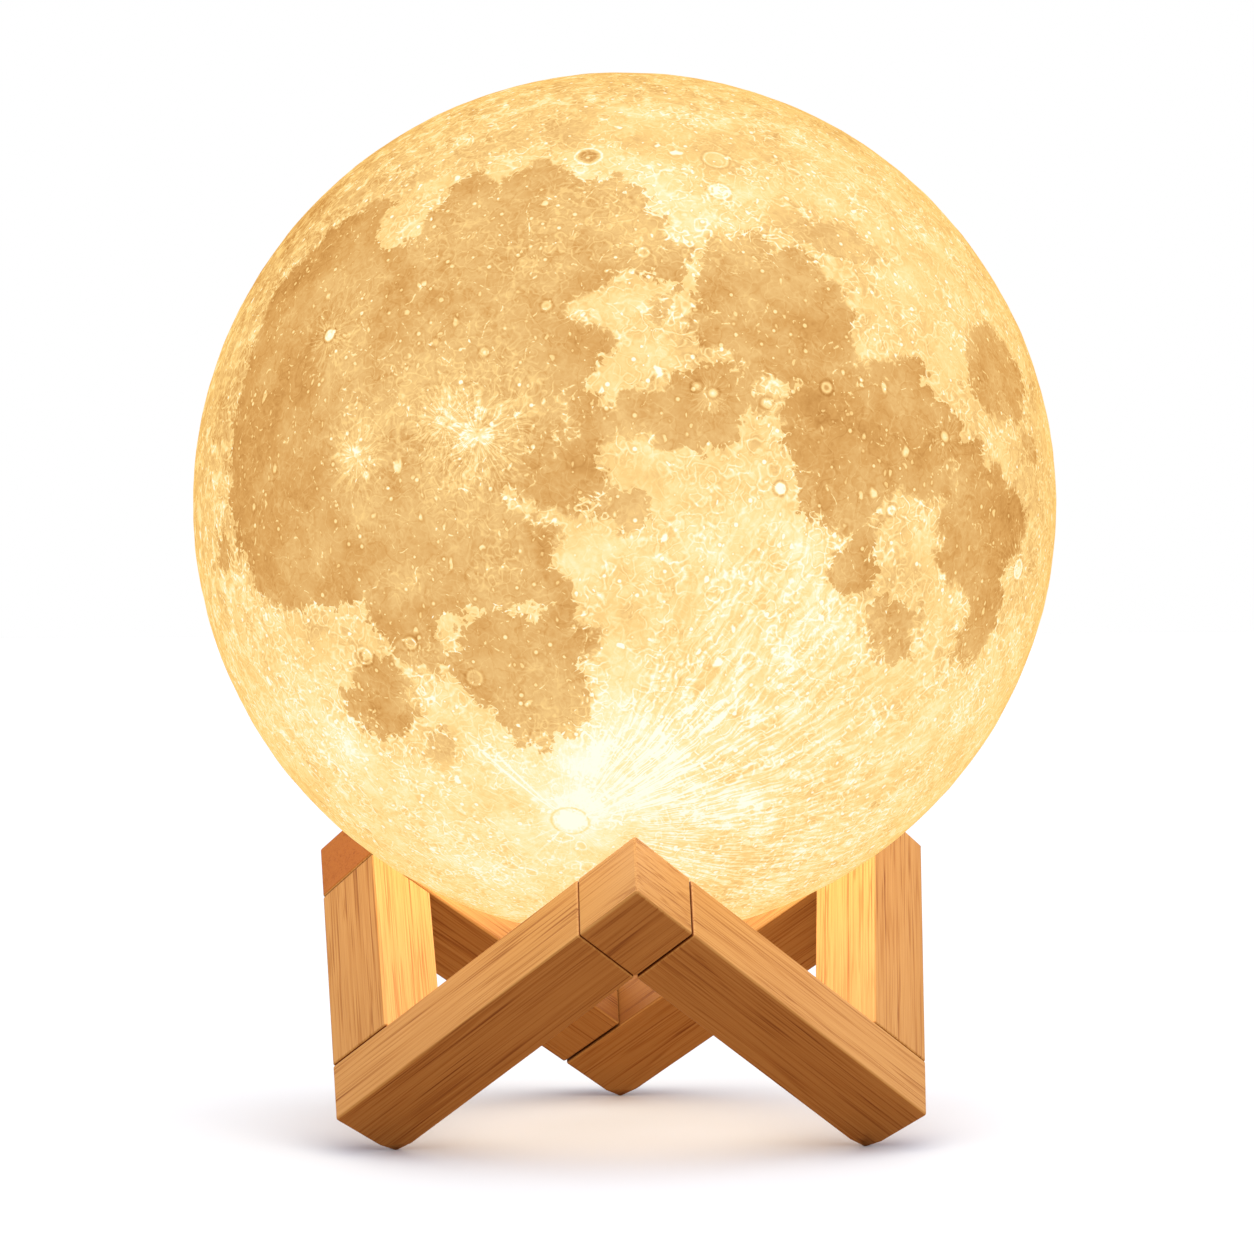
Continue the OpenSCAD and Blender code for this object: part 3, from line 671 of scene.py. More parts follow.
# Craters: degrees right and up, ring radius in degrees, strength of the ring, floor and outline
craters = [
    (-7.7, -43.6, 2.0, 0.0, 0.20, 0.22), (-17.2, 8.6, 1.0, 0.20, 0.26, 0.08),
    (-19.4, 8.4, 1.1, 0.2, 0.20, 0.05), (-18.0, 11.6, 0.7, 0.25, 0.1, 0.1),
    (-23.5, 10.5, 0.7, 0.1, 0.22, 0.1), (-35.3, 7.2, 0.5, 0.2, 0.3, 0.05),
    (-33.8, 4.0, 0.4, 0.3, 0.3, 0.05), (-41.6, 24.2, 0.7, 0.5, 0.6, 0.2),
    (11.0, 13.8, 0.4, 0.3, 0.3, 0.15), (-9.8, 25.4, 0.5, 0.35, 0.1, 0.12),
    (19.3, 2.0, 0.55, 0.4, 0.4, 0.28), (61.9, -10.3, 1.1, 0.4, 0.2, 0.15),
    (13.4, 43.3, 1.3, 0.3, 0.25, 0.12), (2.6, 32.9, 0.7, 0.35, 0.05, 0.12),
    (44.6, 9.3, 0.5, 0.35, 0.4, 0.12), (35.0, -0.8, 0.45, 0.35, 0.15, 0.2),
    (17.8, 12.7, 0.55, 0.25, 0.35, 0.12), (26.0, 15.0, 0.55, 0.40, 0.0, 0.15),
    (-17.7, 19.4, 0.45, 0.2, 0.5, 0.12), (-24.6, 21.2, 0.35, 0.2, 0.5, 0.12),
    (-28.0, -17.9, 0.6, 0.3, 0.1, 0.12), (-35.2, -20.2, 1.0, 0.30, 0.0, 0.12),
    (-11.1, -30.6, 1.1, 0.1, 0.05, 0.08), (13.3, 49.7, 1.5, 0.25, 0.1, 0.12),
    (-19.3, -22.1, 0.9, 0.2, 0.1, 0.1), (150, 12, 1.6, 0.35, 0.15, 0.15),
    (-148, 44, 1.2, 0.4, 0.3, 0.2), (-120, -8, 2.2, 0.25, -0.1, 0.15),
    (118, 38, 1.4, 0.35, 0.2, 0.15), (96, -20, 1.2, 0.4, 0.3, 0.2),
    (-165, -30, 2.6, 0.2, -0.12, 0.12), (-4.9, 49.7, 1.7, 0.30, -0.45, 0.0),
    (9.0, 14.6, 0.35, 0.2, 0.4, 0.1),
]

# Ray systems: degrees right and up, reach of the glow, glow, reach of the rays, ray strength, rays
# round, how much they curl, how fast they change outwards
raySystems = [
    (-7.7, -43.6, 8.0, 0.08, 40.0, 0.05, 26.0, 0.06, 0.20),
    (-18.2, 8.8, 8.0, 0.20, 12.5, 0.30, 7.0, 0.50, 0.20),
    (-22.5, 10.5, 5.5, 0.12, 9.0, 0.26, 6.0, 0.60, 0.25),
    (-35.2, 6.6, 4.6, 0.20, 8.0, 0.26, 4.0, 0.45, 0.22),
    (-41.6, 24.2, 3.0, 0.10, 8.0, 0.24, 4.0, 0.50, 0.22),
    (44.6, 9.3, 2.0, 0.10, 5.0, 0.18, 4.0, 0.40, 0.20),
    (10.6, 13.6, 2.4, 0.22, 4.5, 0.18, 5.0, 0.50, 0.20),
    (-148, 44, 5.0, 0.20, 22.0, 0.22, 12.0, 0.08, 0.08),
    (61.9, -10.3, 4.0, 0.15, 10.0, 0.2, 5.0, 0.20, 0.16),
    (24.5, -15.0, 4.5, 0.16, 9.0, 0.12, 5.0, 0.30, 0.16),
]

# Straight rays of the southern crater: way they leave it, half width, reach (degrees), strength
straightRays = [
    (133, 1.3, 26, 0.28), (127.5, 1.2, 24, 0.24), (232, 2.0, 13, 0.20), (246, 1.5, 11, 0.16),
    (263, 1.8, 10, 0.12), (214, 1.6, 10, 0.12), (196, 1.4, 12, 0.10), (152, 1.2, 18, 0.10),
    (72, 1.4, 13, 0.10), (54, 1.6, 34, 0.12), (43, 1.8, 40, 0.14), (34, 1.4, 44, 0.12),
    (25, 1.8, 36, 0.10), (14, 1.5, 30, 0.08),
]


def faceDirection(right, up, turned):
    # The direction at so many degrees right and up from the middle of the face
    angle = math.hypot(right, up)
    turn = math.radians(turned)
    ahead = np.array([math.sin(turn), -math.cos(turn), 0.0])
    aside = np.array([math.cos(turn), math.sin(turn), 0.0])
    away = (right * aside + up * np.array([0, 0, 1.0])) / max(angle, 1e-9)
    return math.cos(math.radians(angle)) * ahead + math.sin(math.radians(angle)) * away


def makeMoonPrint(values):
    paint = Paint("moonPrint")
    place = paint.objectPlace()
    outward = paint.vector("NORMALIZE", paint.vector("SUBTRACT", place, globe["middle"]))
    facingFront = paint.vector("DOT_PRODUCT", outward, values["faceWay"], "Value")
    aside = paint.vector("DOT_PRODUCT", outward, values["rightWay"], "Value")
    height = paint.vector("DOT_PRODUCT", outward, (0.0, 0.0, 1.0), "Value")
    forward = abs(facingFront)
    edgeBand = paint.step(facingFront, *values["edgeBehind"])
    field = paint.attribute("mareField", "Fac")
    shade = paint.attribute("mareShade", "Fac")
    # Tone of the print, with painted shade at the edge of the face
    shift = paint.attribute("toneShift", "Fac")
    calm = paint.attribute("calm", "Fac")
    push = paint.vector("SUBTRACT", paint.noise(place, *values["push"], 1), (0.5, 0.5, 0.5))
    warp = paint.vector("ADD", place, paint.scaled(push, values["pushDepth"]))
    region = paint.noise(place, *values["region"])
    mottled = paint.noise(place, *values["mottle"]) - 0.5

    # Short engraved lines: a bright crest where a noise passes its middle, a darker strip beside it
    near = [abs(paint.noise(spot, *noise) - middle) for spot, noise, middle
            in zip((place, place, warp), values["crestNoise"], values["crestMiddle"])]
    broken = paint.noise(place, *values["broken"])
    crests, strips = 0.0, 0.0
    for k, (width, light) in enumerate(zip(values["crestWidth"], values["crestLight"])):
        crest = paint.step(near[k], width, 0.0)
        if k < len(values["brokenCut"]):
            crest = crest * paint.step(broken, *values["brokenCut"][k])
            strips = paint.step(near[k], *values["stripCut"][k]) * values["stripShade"][k] + strips
        crests = crest * light + crests

    # Coast: distance to the outline, made ragged by noise and by the engraved lines that run out
    # into the plain, crisp in some places and washed out in others
    coarseNoise, middlingNoise = values["coastNoise"]
    coarse = paint.noise(place, *coarseNoise) - 0.5
    middling = paint.noise(warp, *middlingNoise) - 0.5
    ragged = field + coarse * values["coastWander"] + middling * values["coastRough"]
    ragged = ragged - crests * values["coastFingers"] + values["coastShift"]
    softest, crispest = values["blurRange"]
    blur = paint.step(region, *values["blurCut"]) * softest + crispest
    mare = paint.step(ragged / blur, -1.0, 1.0) * shade
    high = 1 - mare

    busyMore, busyLess = values["busyRange"]
    busy = paint.step(paint.noise(place, *values["busy"]), *values["busyCut"]) * busyMore + busyLess
    coastNear = paint.step(abs(ragged + 1.0), *values["coastLineCut"])
    litLines, busyLines = values["plainLines"]
    mareLines = paint.step(shift, *values["litPlainCut"]) * litLines + busy * busyLines
    strength = busy * (1 + coastNear * values["coastLineLift"]) * (1 - calm * values["calmShare"])
    worms = (crests - strips) * (strength + (mareLines - strength) * mare)

    # Long faint curves across the plains, and chains of dots along other curves
    paleLight, darkLight, chainLight = values["curveLight"]
    curves = paint.lines(warp, *values["paleCurve"]) * paleLight
    curves = curves - paint.lines(warp, *values["darkCurve"]) * darkLight
    beads = paint.step(paint.noise(warp, values["beadSize"]), *values["beadCut"])
    chains = paint.lines(place, *values["chainCurve"]) * beads * chainLight
    curvesOnPlains, curvesAround = values["curveShare"]
    worms = worms + (curves + chains) * (mare * curvesOnPlains + curvesAround)

    # Coarser lines near the edge of the face, where the fine ones are too foreshortened to be seen
    nearEdge = abs(paint.noise(warp, *values["edgeNoise"]) - 0.5)
    crestCut, stripCut = values["edgeCut"]
    crestLight, stripShade = values["edgeLight"]
    edgeLines = paint.step(nearEdge, *crestCut) * crestLight - paint.step(nearEdge, *stripCut) * stripShade
    edgeLines = edgeLines * paint.step(forward, *values["edgeReach"]) * edgeBand
    worms = worms + edgeLines * (1 - mare * values["edgeOnPlains"])

    # Small bright spots, one to a cell at most, drawn out along two slanting directions
    slanted = [place]
    for lean, squeeze in values["slants"]:
        sockets = {"Vector": warp, "Rotation": (0.0, lean, 0.0), "Scale": (1.0, 1.0, squeeze)}
        slanted.append(paint.make("ShaderNodeMapping", {}, sockets))
    spots = 0.0
    for slant, size, share, floor, light in values["spots"]:
        gap = paint.cells(slanted[slant], size)
        pick = paint.part(paint.cells(slanted[slant], size, "Color"), "Red")
        reach = paint.step(pick, *values["spotPick"]) * share + floor
        halo = paint.step(gap / reach, *values["spotHaloCut"]) * values["spotHalo"]
        spots = spots + paint.step(gap / reach, *values["spotCut"]) * light - halo
    ringGap = paint.cells(warp, values["ringCell"])
    ringPick = paint.part(paint.cells(warp, values["ringCell"], "Color"), "Blue")
    sizeRange, leastSize = values["ringSizes"]
    ringSize = ringPick * sizeRange + leastSize
    rimLight, floorShade = values["ringLight"]
    rings = paint.step(abs(ringGap - ringSize), values["ringWidth"], 0.0) * rimLight
    rings = rings - paint.step(ringGap, ringSize, ringSize * 0.5) * floorShade
    rings = rings * paint.step(ringPick, *values["ringPick"]) * (1 - mare * values["ringOnPlains"])

    # Ground tones
    grainy = paint.noise(place, *values["grain"]) - 0.5
    tones = [(region - 0.5) * broad + mottled * middle + level for broad, middle, level
             in zip(values["regionTone"], values["mottleTone"], (values["highTone"], values["mareTone"]))]
    # The base taken off the blots is painted shade over the whole band near the edge of the face
    blotRange, blotPaintedShade = values["blotTone"]
    blots = paint.step(paint.noise(warp, *values["blot"]), *values["blotCut"]) * blotRange - blotPaintedShade
    blots = blots * paint.step(aside, *values["blotSideways"]) * paint.step(forward, *values["blotReach"])
    blots = blots * edgeBand * high * paint.step(height, *values["blotUp"])
    tone = tones[0] + (tones[1] - tones[0]) * mare + grainy * values["grainTone"] + shift + blots
    bright = tone + worms + spots + rings

    # Rays and glow of the young craters, and fine lines that run out from them
    bend = paint.noise(place, *values["bend"]) - 0.5

    def wheelPlace(right, up):
        # Degrees away from a crater, and the way towards it as two shares
        centre = faceDirection(right, up, globe["faceTurned"])
        sideA = unit(np.cross(centre, [0.0, 0.0, 1.0]))
        closeness = paint.vector("DOT_PRODUCT", outward, tuple(centre), "Value")
        u = paint.vector("DOT_PRODUCT", outward, tuple(sideA), "Value")
        v = paint.vector("DOT_PRODUCT", outward, tuple(np.cross(centre, sideA)), "Value")
        length = paint.maths("MAXIMUM", paint.maths("SQRT", u * u + v * v), 1e-5)
        return paint.maths("ARCCOSINE", closeness * 0.99999) * (180 / math.pi), u / length, v / length

    def wheelNoise(u, v, curl, around, along, detail, roughness, distortion=0.0):
        # Noise over a drum: its lines run away from the crater, so many to a turn
        wander = bend * curl
        sockets = {"X": (u + wander) * around, "Y": (v - wander) * around, "Z": along}
        drum = paint.make("ShaderNodeCombineXYZ", {}, sockets)
        return paint.noise(drum, values["wheelSize"], detail, roughness, distortion)

    for right, up, glowReach, glow, rayReach, rays, around, curl, change in raySystems:
        away, u, v = wheelPlace(right, up)
        streak = wheelNoise(u, v, curl, around, away * change + right, *values["rayNoise"])
        fade = paint.step(away, rayReach, rayReach * values["raySolid"])
        fade = fade * paint.step(away, *values["rayStart"])
        streak = paint.step(streak, *values["rayCut"]) - values["rayBase"]
        bright = bright + paint.step(away, glowReach, 0.0) * glow + streak * fade * rays

    # The southern crater also has short strokes that all point away from it, towards the right
    away, u, v = wheelPlace(*raySystems[0][:2])
    streak = wheelNoise(u, v, values["strokeCurl"], values["strokeAround"],
                        away * values["strokeChange"], *values["strokeNoise"])
    strokes = paint.step(streak, *values["strokeCut"]) - values["strokeBase"]
    strokes = strokes * paint.step(u, *values["strokeSide"])
    strokes = strokes * paint.step(away, *values["strokeEnd"]) * paint.step(away, *values["strokeStart"])
    onHighlands, lessOnPlains = values["strokeLight"]
    bright = bright + strokes * (onHighlands - mare * lessOnPlains)
    mottleShare, mottleBase = values["straightMottle"]
    begun = paint.step(away, *values["straightStart"]) * (mottled * mottleShare + mottleBase)
    for leaving, spread, reach, light in straightRays:
        aim = u * -math.cos(math.radians(leaving)) - v * math.sin(math.radians(leaving))
        edge, core = (math.cos(math.radians(spread * k)) for k in (1, values["straightCore"]))
        fade = paint.step(away, reach, reach * values["straightCore"])
        bright = bright + paint.step(aim, edge, core) * fade * begun * light

    # Listed ringed craters: pale floor and rim inside a darker outline
    wobble = mottled * values["rimWobble"]
    degree = globe["radius"] * math.radians(1)
    for right, up, size, ringLight, fill, outline in craters:
        centre = faceDirection(right, up, globe["faceTurned"])
        middle = np.array(globe["middle"]) + centre * globe["radius"]
        gap = paint.vector("DISTANCE", place, tuple(middle), "Value") * (1 / degree) + wobble
        bright = bright + paint.step(abs(gap - size), values["rimWidth"], 0.0) * ringLight
        bright = bright + paint.step(gap, size, size * 0.5) * fill
        aroundRim = abs(gap - size - values["rimOutline"])
        bright = bright - paint.step(aroundRim, values["rimWidth"], 0.0) * outline

    # The lamp inside sits low, so the print is brighter towards the bottom; painted shade darkens the edge
    # of the face as seen from the front, leaving the middle brighter
    glowAndRimShade = paint.step(height, *values["lowGlowCut"]) * values["lowGlow"]
    glowAndRimShade = glowAndRimShade - paint.step(forward, *values["paintedRimShadeCut"]) * values["paintedRimShade"]
    bright = bright + glowAndRimShade * (1 - mare * values["plainsKeep"])
    colour = paint.ramp(bright, [(at, fromSrgb(*shown)) for at, shown in values["ramp"]])
    paint.bump(mottled + crests, values["bumpDepth"], values["bumpStrength"])
    paint.material.cycles.emission_sampling = "NONE"
    base = paint.blend(values["bodyShare"], colour, values["bodyColour"])
    return paint.finish(**{
        "Base Color": base, "Roughness": values["roughness"], "Specular IOR Level": 0.0,
        "Emission Color": colour, "Emission Strength": values["emission"],
        "Coat Weight": 1.0, "Coat Roughness": values["coatRoughness"],
        "Coat IOR": values["coatIndex"], "Coat Tint": values["coatTint"]})


moonGlobe = makeMoonShell(globe)
dress(moonGlobe, makeMoonPrint(moonPrint))
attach(moonGlobe, "globe")
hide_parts("moon_shell")
report("globe made with %d vertices" % len(moonGlobe.data.vertices))


# Wooden bars of the stand

stand = {
    "side": 0.0135,
    "footRadius": 0.047,
    "peakRadius": 0.0515,
    "peakRise": 0.0335,
    "footCut": 0.001,
    "seam": 0.00012,
    "openSeam": 0.00034,
    "rounding": 0.00045,
    "roundSteps": 3,
    "lengthSteps": 16,
    "sideSteps": 4,
    # Grain: how far it is shifted, how its rings lean, and where a face shows it along another bar
    "grainShift": 0.4,
    "ringLean": (0.04, 0.12),
    "turnedFrom": 0.75,
    # How strong the painted shade on the undersides of the six bars is
    "underside": (1.0, 1.0, 0.35, 0.35, 0.8, 0.8),
    # Painted shade in seams, and on the back bars' faces towards the globe: gain, top and depth
    "seamShade": (4, 3),
    "moonwardGain": 1.6,
    "lowFrom": 0.042,
    "lowDepth": 0.026,
}
half = stand["side"] / 2


def threeCorners(radius, start, rise):
    # Three corners on a circle around the middle, 120 degrees apart
    turns = [math.radians(start + 120 * k) for k in range(3)]
    return [np.array([radius * math.cos(turn), radius * math.sin(turn), rise]) for turn in turns]


footAt = threeCorners(stand["footRadius"], 90, 0.0)
peakAt = threeCorners(stand["peakRadius"], 30, stand["peakRise"])
# Each bar: foot, peak, the bar it meets at the foot, the bar it meets at the peak
barRing = [(1, 2, 2, 1), (2, 2, 3, 0), (1, 1, 0, 4), (2, 0, 1, 5), (0, 1, 5, 2), (0, 0, 4, 3)]
barWay = [unit(peakAt[peak] - footAt[foot]) for foot, peak, _, _ in barRing]
footNormal = [unit(np.cross(barWay[i], barWay[barRing[i][2]])) for i in range(6)]
peakNormal = [unit(np.cross(barWay[i], barWay[barRing[i][3]])) for i in range(6)]


def facing(normal, way):
    return -normal if normal @ way < 0 else normal


def threePlanes(planes):
    # The point on three planes, each given by its normal and its distance from the origin
    return np.linalg.solve(np.array([n for n, _ in planes]), np.array([d for _, d in planes]))


def raised(normal):
    return facing(normal, np.array([0, 0, 1.0]))


cornerPlanes = [(raised(normal), 1) for normal in (footNormal[0], peakNormal[0], peakNormal[2])]
cornerRise = half * threePlanes(cornerPlanes)[2]
for point in footAt + peakAt:
    point[2] += cornerRise - stand["footCut"]


def roundedBlock(planes, rounding, steps):
    # Block between three pairs of planes with every edge and corner rounded: a grid over each face
    # of a cube, where the middle of the grid lies on the face and its border turns towards the
    # neighbours, so each point is one of the inner block plus the rounding along its normal
    inner = np.zeros((2, 2, 2, 3))
    corners = list(itertools.product((0, 1), repeat=3))
    for corner in corners:
        three = [planes[axis][end] for axis, end in enumerate(corner)]
        inner[corner] = threePlanes([(n, d - rounding) for n, d in three])
    turn = np.tan(np.radians(np.linspace(45, 0, stand["roundSteps"] + 1)))
    places, normals, faces, total = [], [], [], 0
    for axis in range(3):
        others = [k for k in range(3) if k != axis]
        for end in (0, 1):
            lists = []
            for k in others:
                flat = np.linspace(0, 1, steps[k] + 1)
                share = np.concatenate([np.zeros(len(turn) - 1), flat, np.ones(len(turn) - 1)])
                lean = np.concatenate([-turn[:-1], np.zeros(len(flat)), turn[:-1][::-1]])
                lists.append((share, lean))
            (s0, e0), (s1, e1) = lists
            u, v = np.meshgrid(np.arange(len(s0)), np.arange(len(s1)), indexing="ij")
            shares = [None, None, None]
            shares[axis] = np.full(u.shape, float(end))
            shares[others[0]], shares[others[1]] = s0[u], s1[v]
            spot = 0
            for corner in corners:
                weight = 1.0
                for share, bit in zip(shares, corner):
                    weight = weight * (share if bit else 1 - share)
                spot = spot + weight[..., None] * inner[corner]
            way = np.broadcast_to(planes[axis][end][0], u.shape + (3,)).copy()
            for k, lean in ((others[0], e0[u]), (others[1], e1[v])):
                way += np.where(lean > 0, lean, 0)[..., None] * planes[k][1][0]
                way += np.where(lean < 0, -lean, 0)[..., None] * planes[k][0][0]
            way = unit(way)
            index = total + np.arange(u.size).reshape(u.shape)
            quads = gridFaces(index)
            span = np.cross(planes[others[0]][1][0], planes[others[1]][1][0])
            if span @ planes[axis][end][0] < 0:
                quads = quads[:, ::-1]
            places.append((spot + rounding * way).reshape(-1, 3))
            normals.append(way.reshape(-1, 3))
            faces.append(quads)
            total += u.size
    places, normals, faces = np.concatenate(places), np.concatenate(normals), np.concatenate(faces)
    # Points in the same place become one
    rounded = np.round(places / 1e-8).astype(np.int64)
    _, first, back = np.unique(rounded, axis=0, return_index=True, return_inverse=True)
    return places[first], normals[first], back.reshape(-1)[faces]


def makeBar(name, i, low, high, node, grainSeed, fromPeak=False):
    # low and high: distances of the end planes beyond the meeting points of the axes
    foot, peak = footAt[barRing[i][0]], peakAt[barRing[i][1]]
    way = barWay[i]
    lowNormal = facing(peakNormal[barRing[i][2]], way)
    highNormal = facing(footNormal[barRing[i][3]], way)
    lowPoint, highPoint = foot, peak
    if fromPeak:
        lowPoint, lowNormal = peak, highNormal
    planes = []
    for normal in (footNormal[i], peakNormal[i]):
        planes.append([(-normal, half - normal @ foot), (normal, half + normal @ foot)])
    planes.append([(-lowNormal, low - lowNormal @ lowPoint), (highNormal, high + highNormal @ highPoint)])
    places, normals, faces = roundedBlock(planes, stand["rounding"],
                                          (stand["sideSteps"], stand["sideSteps"], stand["lengthSteps"]))
    grounded = places[:, 2] < 0
    places[grounded, 2] = 0
    normals[grounded] = (0, 0, -1)
    piece = meshPiece(name, places, faces, normals)
    # A face square to the bar's length shows lines along the bar that it meets, as if it were veneered
    local = places - foot
    endWard = np.abs(normals @ unit(np.cross(footNormal[i], peakNormal[i])))
    rng = np.random.default_rng(grainSeed)
    shift = rng.uniform(-stand["grainShift"], stand["grainShift"], 3)
    # Growth rings lie nearly flat against the face that a bar shares with the one at its peak
    lean = rng.uniform(*stand["ringLean"])
    x, y = local @ peakNormal[i], local @ unit(np.cross(way, peakNormal[i]))
    z = local @ way
    if fromPeak:
        other = barWay[barRing[i][3]]
        aside, along = local @ unit(np.cross(highNormal, other)), local @ other
        turned = endWard > stand["turnedFrom"]
        x, y, z = np.where(turned, aside, x), np.where(turned, z, y), np.where(turned, along, z)
    grain = np.stack([x * math.cos(lean) - y * math.sin(lean),
                      x * math.sin(lean) + y * math.cos(lean), z], -1)
    setAttribute(piece, "grainPlace", grain + shift)
    # Faces that point down get painted shade
    setAttribute(piece, "underside", np.clip(-normals[:, 2], 0, 1) * stand["underside"][i])
    setAttribute(piece, "endWard", endWard * (not fromPeak))
    # Painted shade: ends inside a seam are dark, and so are the inner faces of the back bars low down
    hidden = np.where(normals @ way < 0, low < 0, high < 0) * endWard
    gain, less = stand["seamShade"]
    hidden = np.clip(hidden * gain - less, 0, 1)
    toMoon = unit(np.array(globe["middle"]) - places)
    deep = np.clip((normals * toMoon).sum(1) * stand["moonwardGain"], 0, 1)
    deep = deep * np.clip((stand["lowFrom"] - places[:, 2]) / stand["lowDepth"], 0, 1)
    setAttribute(piece, "shaded", np.maximum(hidden, deep * (i > 3)))
    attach(piece, "stand")
    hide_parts(node)
    return piece


butt = -half - stand["seam"]
openButt = -half - stand["openSeam"]
bars = [
    makeBar("frontLeftBar", 0, half, butt, "front_left_bar", 1),
    makeBar("frontRightBar", 1, half, openButt, "front_right_bar", 2),
    makeBar("leftSideBar", 2, openButt, openButt, "left_side_bar", 3),
    makeBar("rightSideBar", 3, butt, half, "right_side_bar", 4),
    makeBar("backLeftBar", 4, openButt, half, "back_left_bar", 5),
    makeBar("backRightBar", 5, half, butt, "back_right_bar", 6),
    makeBar("frontPeakBlock", 0, half, half, "front_peak_block", 7, True),
]

wood = {
    "dark": (120, 62, 17),
    "body": (168, 114, 55),
    "pale": (196, 147, 85),
    # The under and shaded tints are painted shade: on faces that point down, and in seams and low on the
    # back bars' faces towards the globe
    "under": (0.80, 0.68, 0.60, 1.0),
    "ends": (0.78, 0.49, 0.13, 1.0),
    "shaded": (0.30, 0.20, 0.11, 1.0),
    # Noises: size across the bar, how many times longer along it, detail, roughness, distortion
    "fine": (0.00026, 50, 2.0, 0.6),
    "bands": (0.0012, 34, 3.0, 0.6, 0.3),
    "broad": (0.0048, 14, 2.0, 0.5),
    "tones": (0.38, 0.26, 0.16),
    "middleTone": 0.71,
    # Dark lines, stronger in some places: veins, pores and threads
    "places": (0.0024, 10, 1.0, 0.5),
    "placesCut": (0.36, 0.60),
    "placesShare": (0.6, 0.4),
    "veins": (0.0013, 50, 1.0, 0.5, 0.4),
    "veinCut": (0.045, 0.0),
    "pores": (0.00040, 90, 1.0, 0.5),
    "poreCut": (0.56, 0.66),
    "threads": (0.0008, 90, 0.0, 0.5),
    "threadCut": (0.050, 0.0),
    "lineShade": (0.30, 0.32, 0.22),
    # Cut ends have a more even tone
    "endCut": (0.7, 0.9),
    "endTone": 0.66,
    "endShare": 0.4,
    "underCut": (0.1, 0.6),
    "bump": (0.00005, 0.5),
    "roughness": 0.50,
    "darkRougher": 0.16,
    "specular": 0.18,
}


def makeWood(values):
    paint = Paint("barWood")
    place = paint.attribute("grainPlace")

    def drawnOut(name):
        # Noise of one size across the bar, drawn out along it so many times
        size, length, *kind = values[name]
        sockets = {"Vector": place, "Scale": (1.0, 1.0, 1 / length)}
        return paint.noise(paint.make("ShaderNodeMapping", {}, sockets), size, *kind)

    veins = paint.step(abs(drawnOut("veins") - 0.5), *values["veinCut"])
    pores = paint.step(drawnOut("pores"), *values["poreCut"])
    threads = paint.step(abs(drawnOut("threads") - 0.5), *values["threadCut"])
    veinShade, poreShade, threadShade = values["lineShade"]
    more, least = values["placesShare"]
    streaks = veins * veinShade + pores * poreShade + threads * threadShade
    streaks = streaks * (paint.step(drawnOut("places"), *values["placesCut"]) * more + least)
    light = values["middleTone"] - streaks
    for name, share in zip(("fine", "bands", "broad"), values["tones"]):
        light = light + (drawnOut(name) - 0.5) * share
    ends = paint.step(paint.attribute("endWard", "Fac"), *values["endCut"])
    light = light + (values["endTone"] - light) * ends * values["endShare"]
    stops = zip((0.0, 0.5, 1.0), ("dark", "body", "pale"))
    colour = paint.ramp(light, [(at, fromSrgb(*values[name])) for at, name in stops])
    # Painted shade on faces that point down
    under = paint.step(paint.attribute("underside", "Fac"), *values["underCut"])
    colour = paint.tinted(under, colour, values["under"])
    colour = paint.tinted(ends, colour, values["ends"])
    # Painted shade in seams and low on the back bars' faces towards the globe
    colour = paint.tinted(paint.attribute("shaded", "Fac"), colour, values["shaded"])
    paint.bump(light, *values["bump"])
    rough = (1 - light) * values["darkRougher"] + values["roughness"]
    return paint.finish(**{"Base Color": colour, "Roughness": rough,
                           "Specular IOR Level": values["specular"]})


barWood = makeWood(wood)
for bar in bars:
    dress(bar, barWood)
report("bars made")


# Plain finishes of the lamp module's parts: a noise is its size, detail and roughness
moulded = {
    "drift": (0.012, 3.0, 0.55),
    "spark": (2.0, 0.6),
    "darker": 0.82,
    "tone": (6, 4, 0.35),
    "bumpStrength": 0.5,
    "gloss": (0.12, 0.06),
}
metal = {
    "brush": (0.00018, 3.0, 0.6),
    "stain": (0.004, 3.0, 0.6),
    "darker": 0.7,
    "tone": (0.7, 0.5, 0.4),
    "bump": (0.000008, 0.4),
    "gloss": (0.14, 0.1),
}
board = {
    "laneSize": 0.0022,
    "laneRandom": 0.35,
    "trackCut": (0.10, 0.06),
    "padSize": 0.0031,
    "padCut": (0.16, 0.12),
    "grain": (0.0006, 2.0, 0.6),
    "varnish": (20, 84, 52),
    "track": (44, 124, 78),
    "tin": (206, 204, 196),
    "trackHeight": 0.5,
    "bump": (0.00004, 0.6),
    "roughness": (0.1, 0.34),
    "padMetal": 0.8,
}
glowing = {
    "cloud": (0.0012, 2.0, 0.5),
    "darker": 0.8,
    "tone": (0.8, 0.4),
    "roughness": (0.1, 0.4),
}


def makeMoulded(name, colour, roughness, speckle=0.04, grainSize=0.0004, depth=0.00002, **more):
    # Moulded or cast surface: a broad tone drift, fine spark texture and uneven gloss
    paint = Paint(name)
    place = paint.objectPlace()
    drift = paint.noise(place, *moulded["drift"]) - 0.5
    fine = paint.noise(place, grainSize, *moulded["spark"]) - 0.5
    base = fromSrgb(*colour)
    driftTone, fineTone, middle = moulded["tone"]
    share = drift * speckle * driftTone + fine * speckle * fineTone + middle
    mixed = paint.blend(share, base, darkened(base, moulded["darker"]))
    paint.bump(fine, depth, moulded["bumpStrength"])
    driftGloss, fineGloss = moulded["gloss"]
    rough = drift * driftGloss + fine * fineGloss + roughness
    return paint.finish(**{"Base Color": mixed, "Roughness": rough, **more})


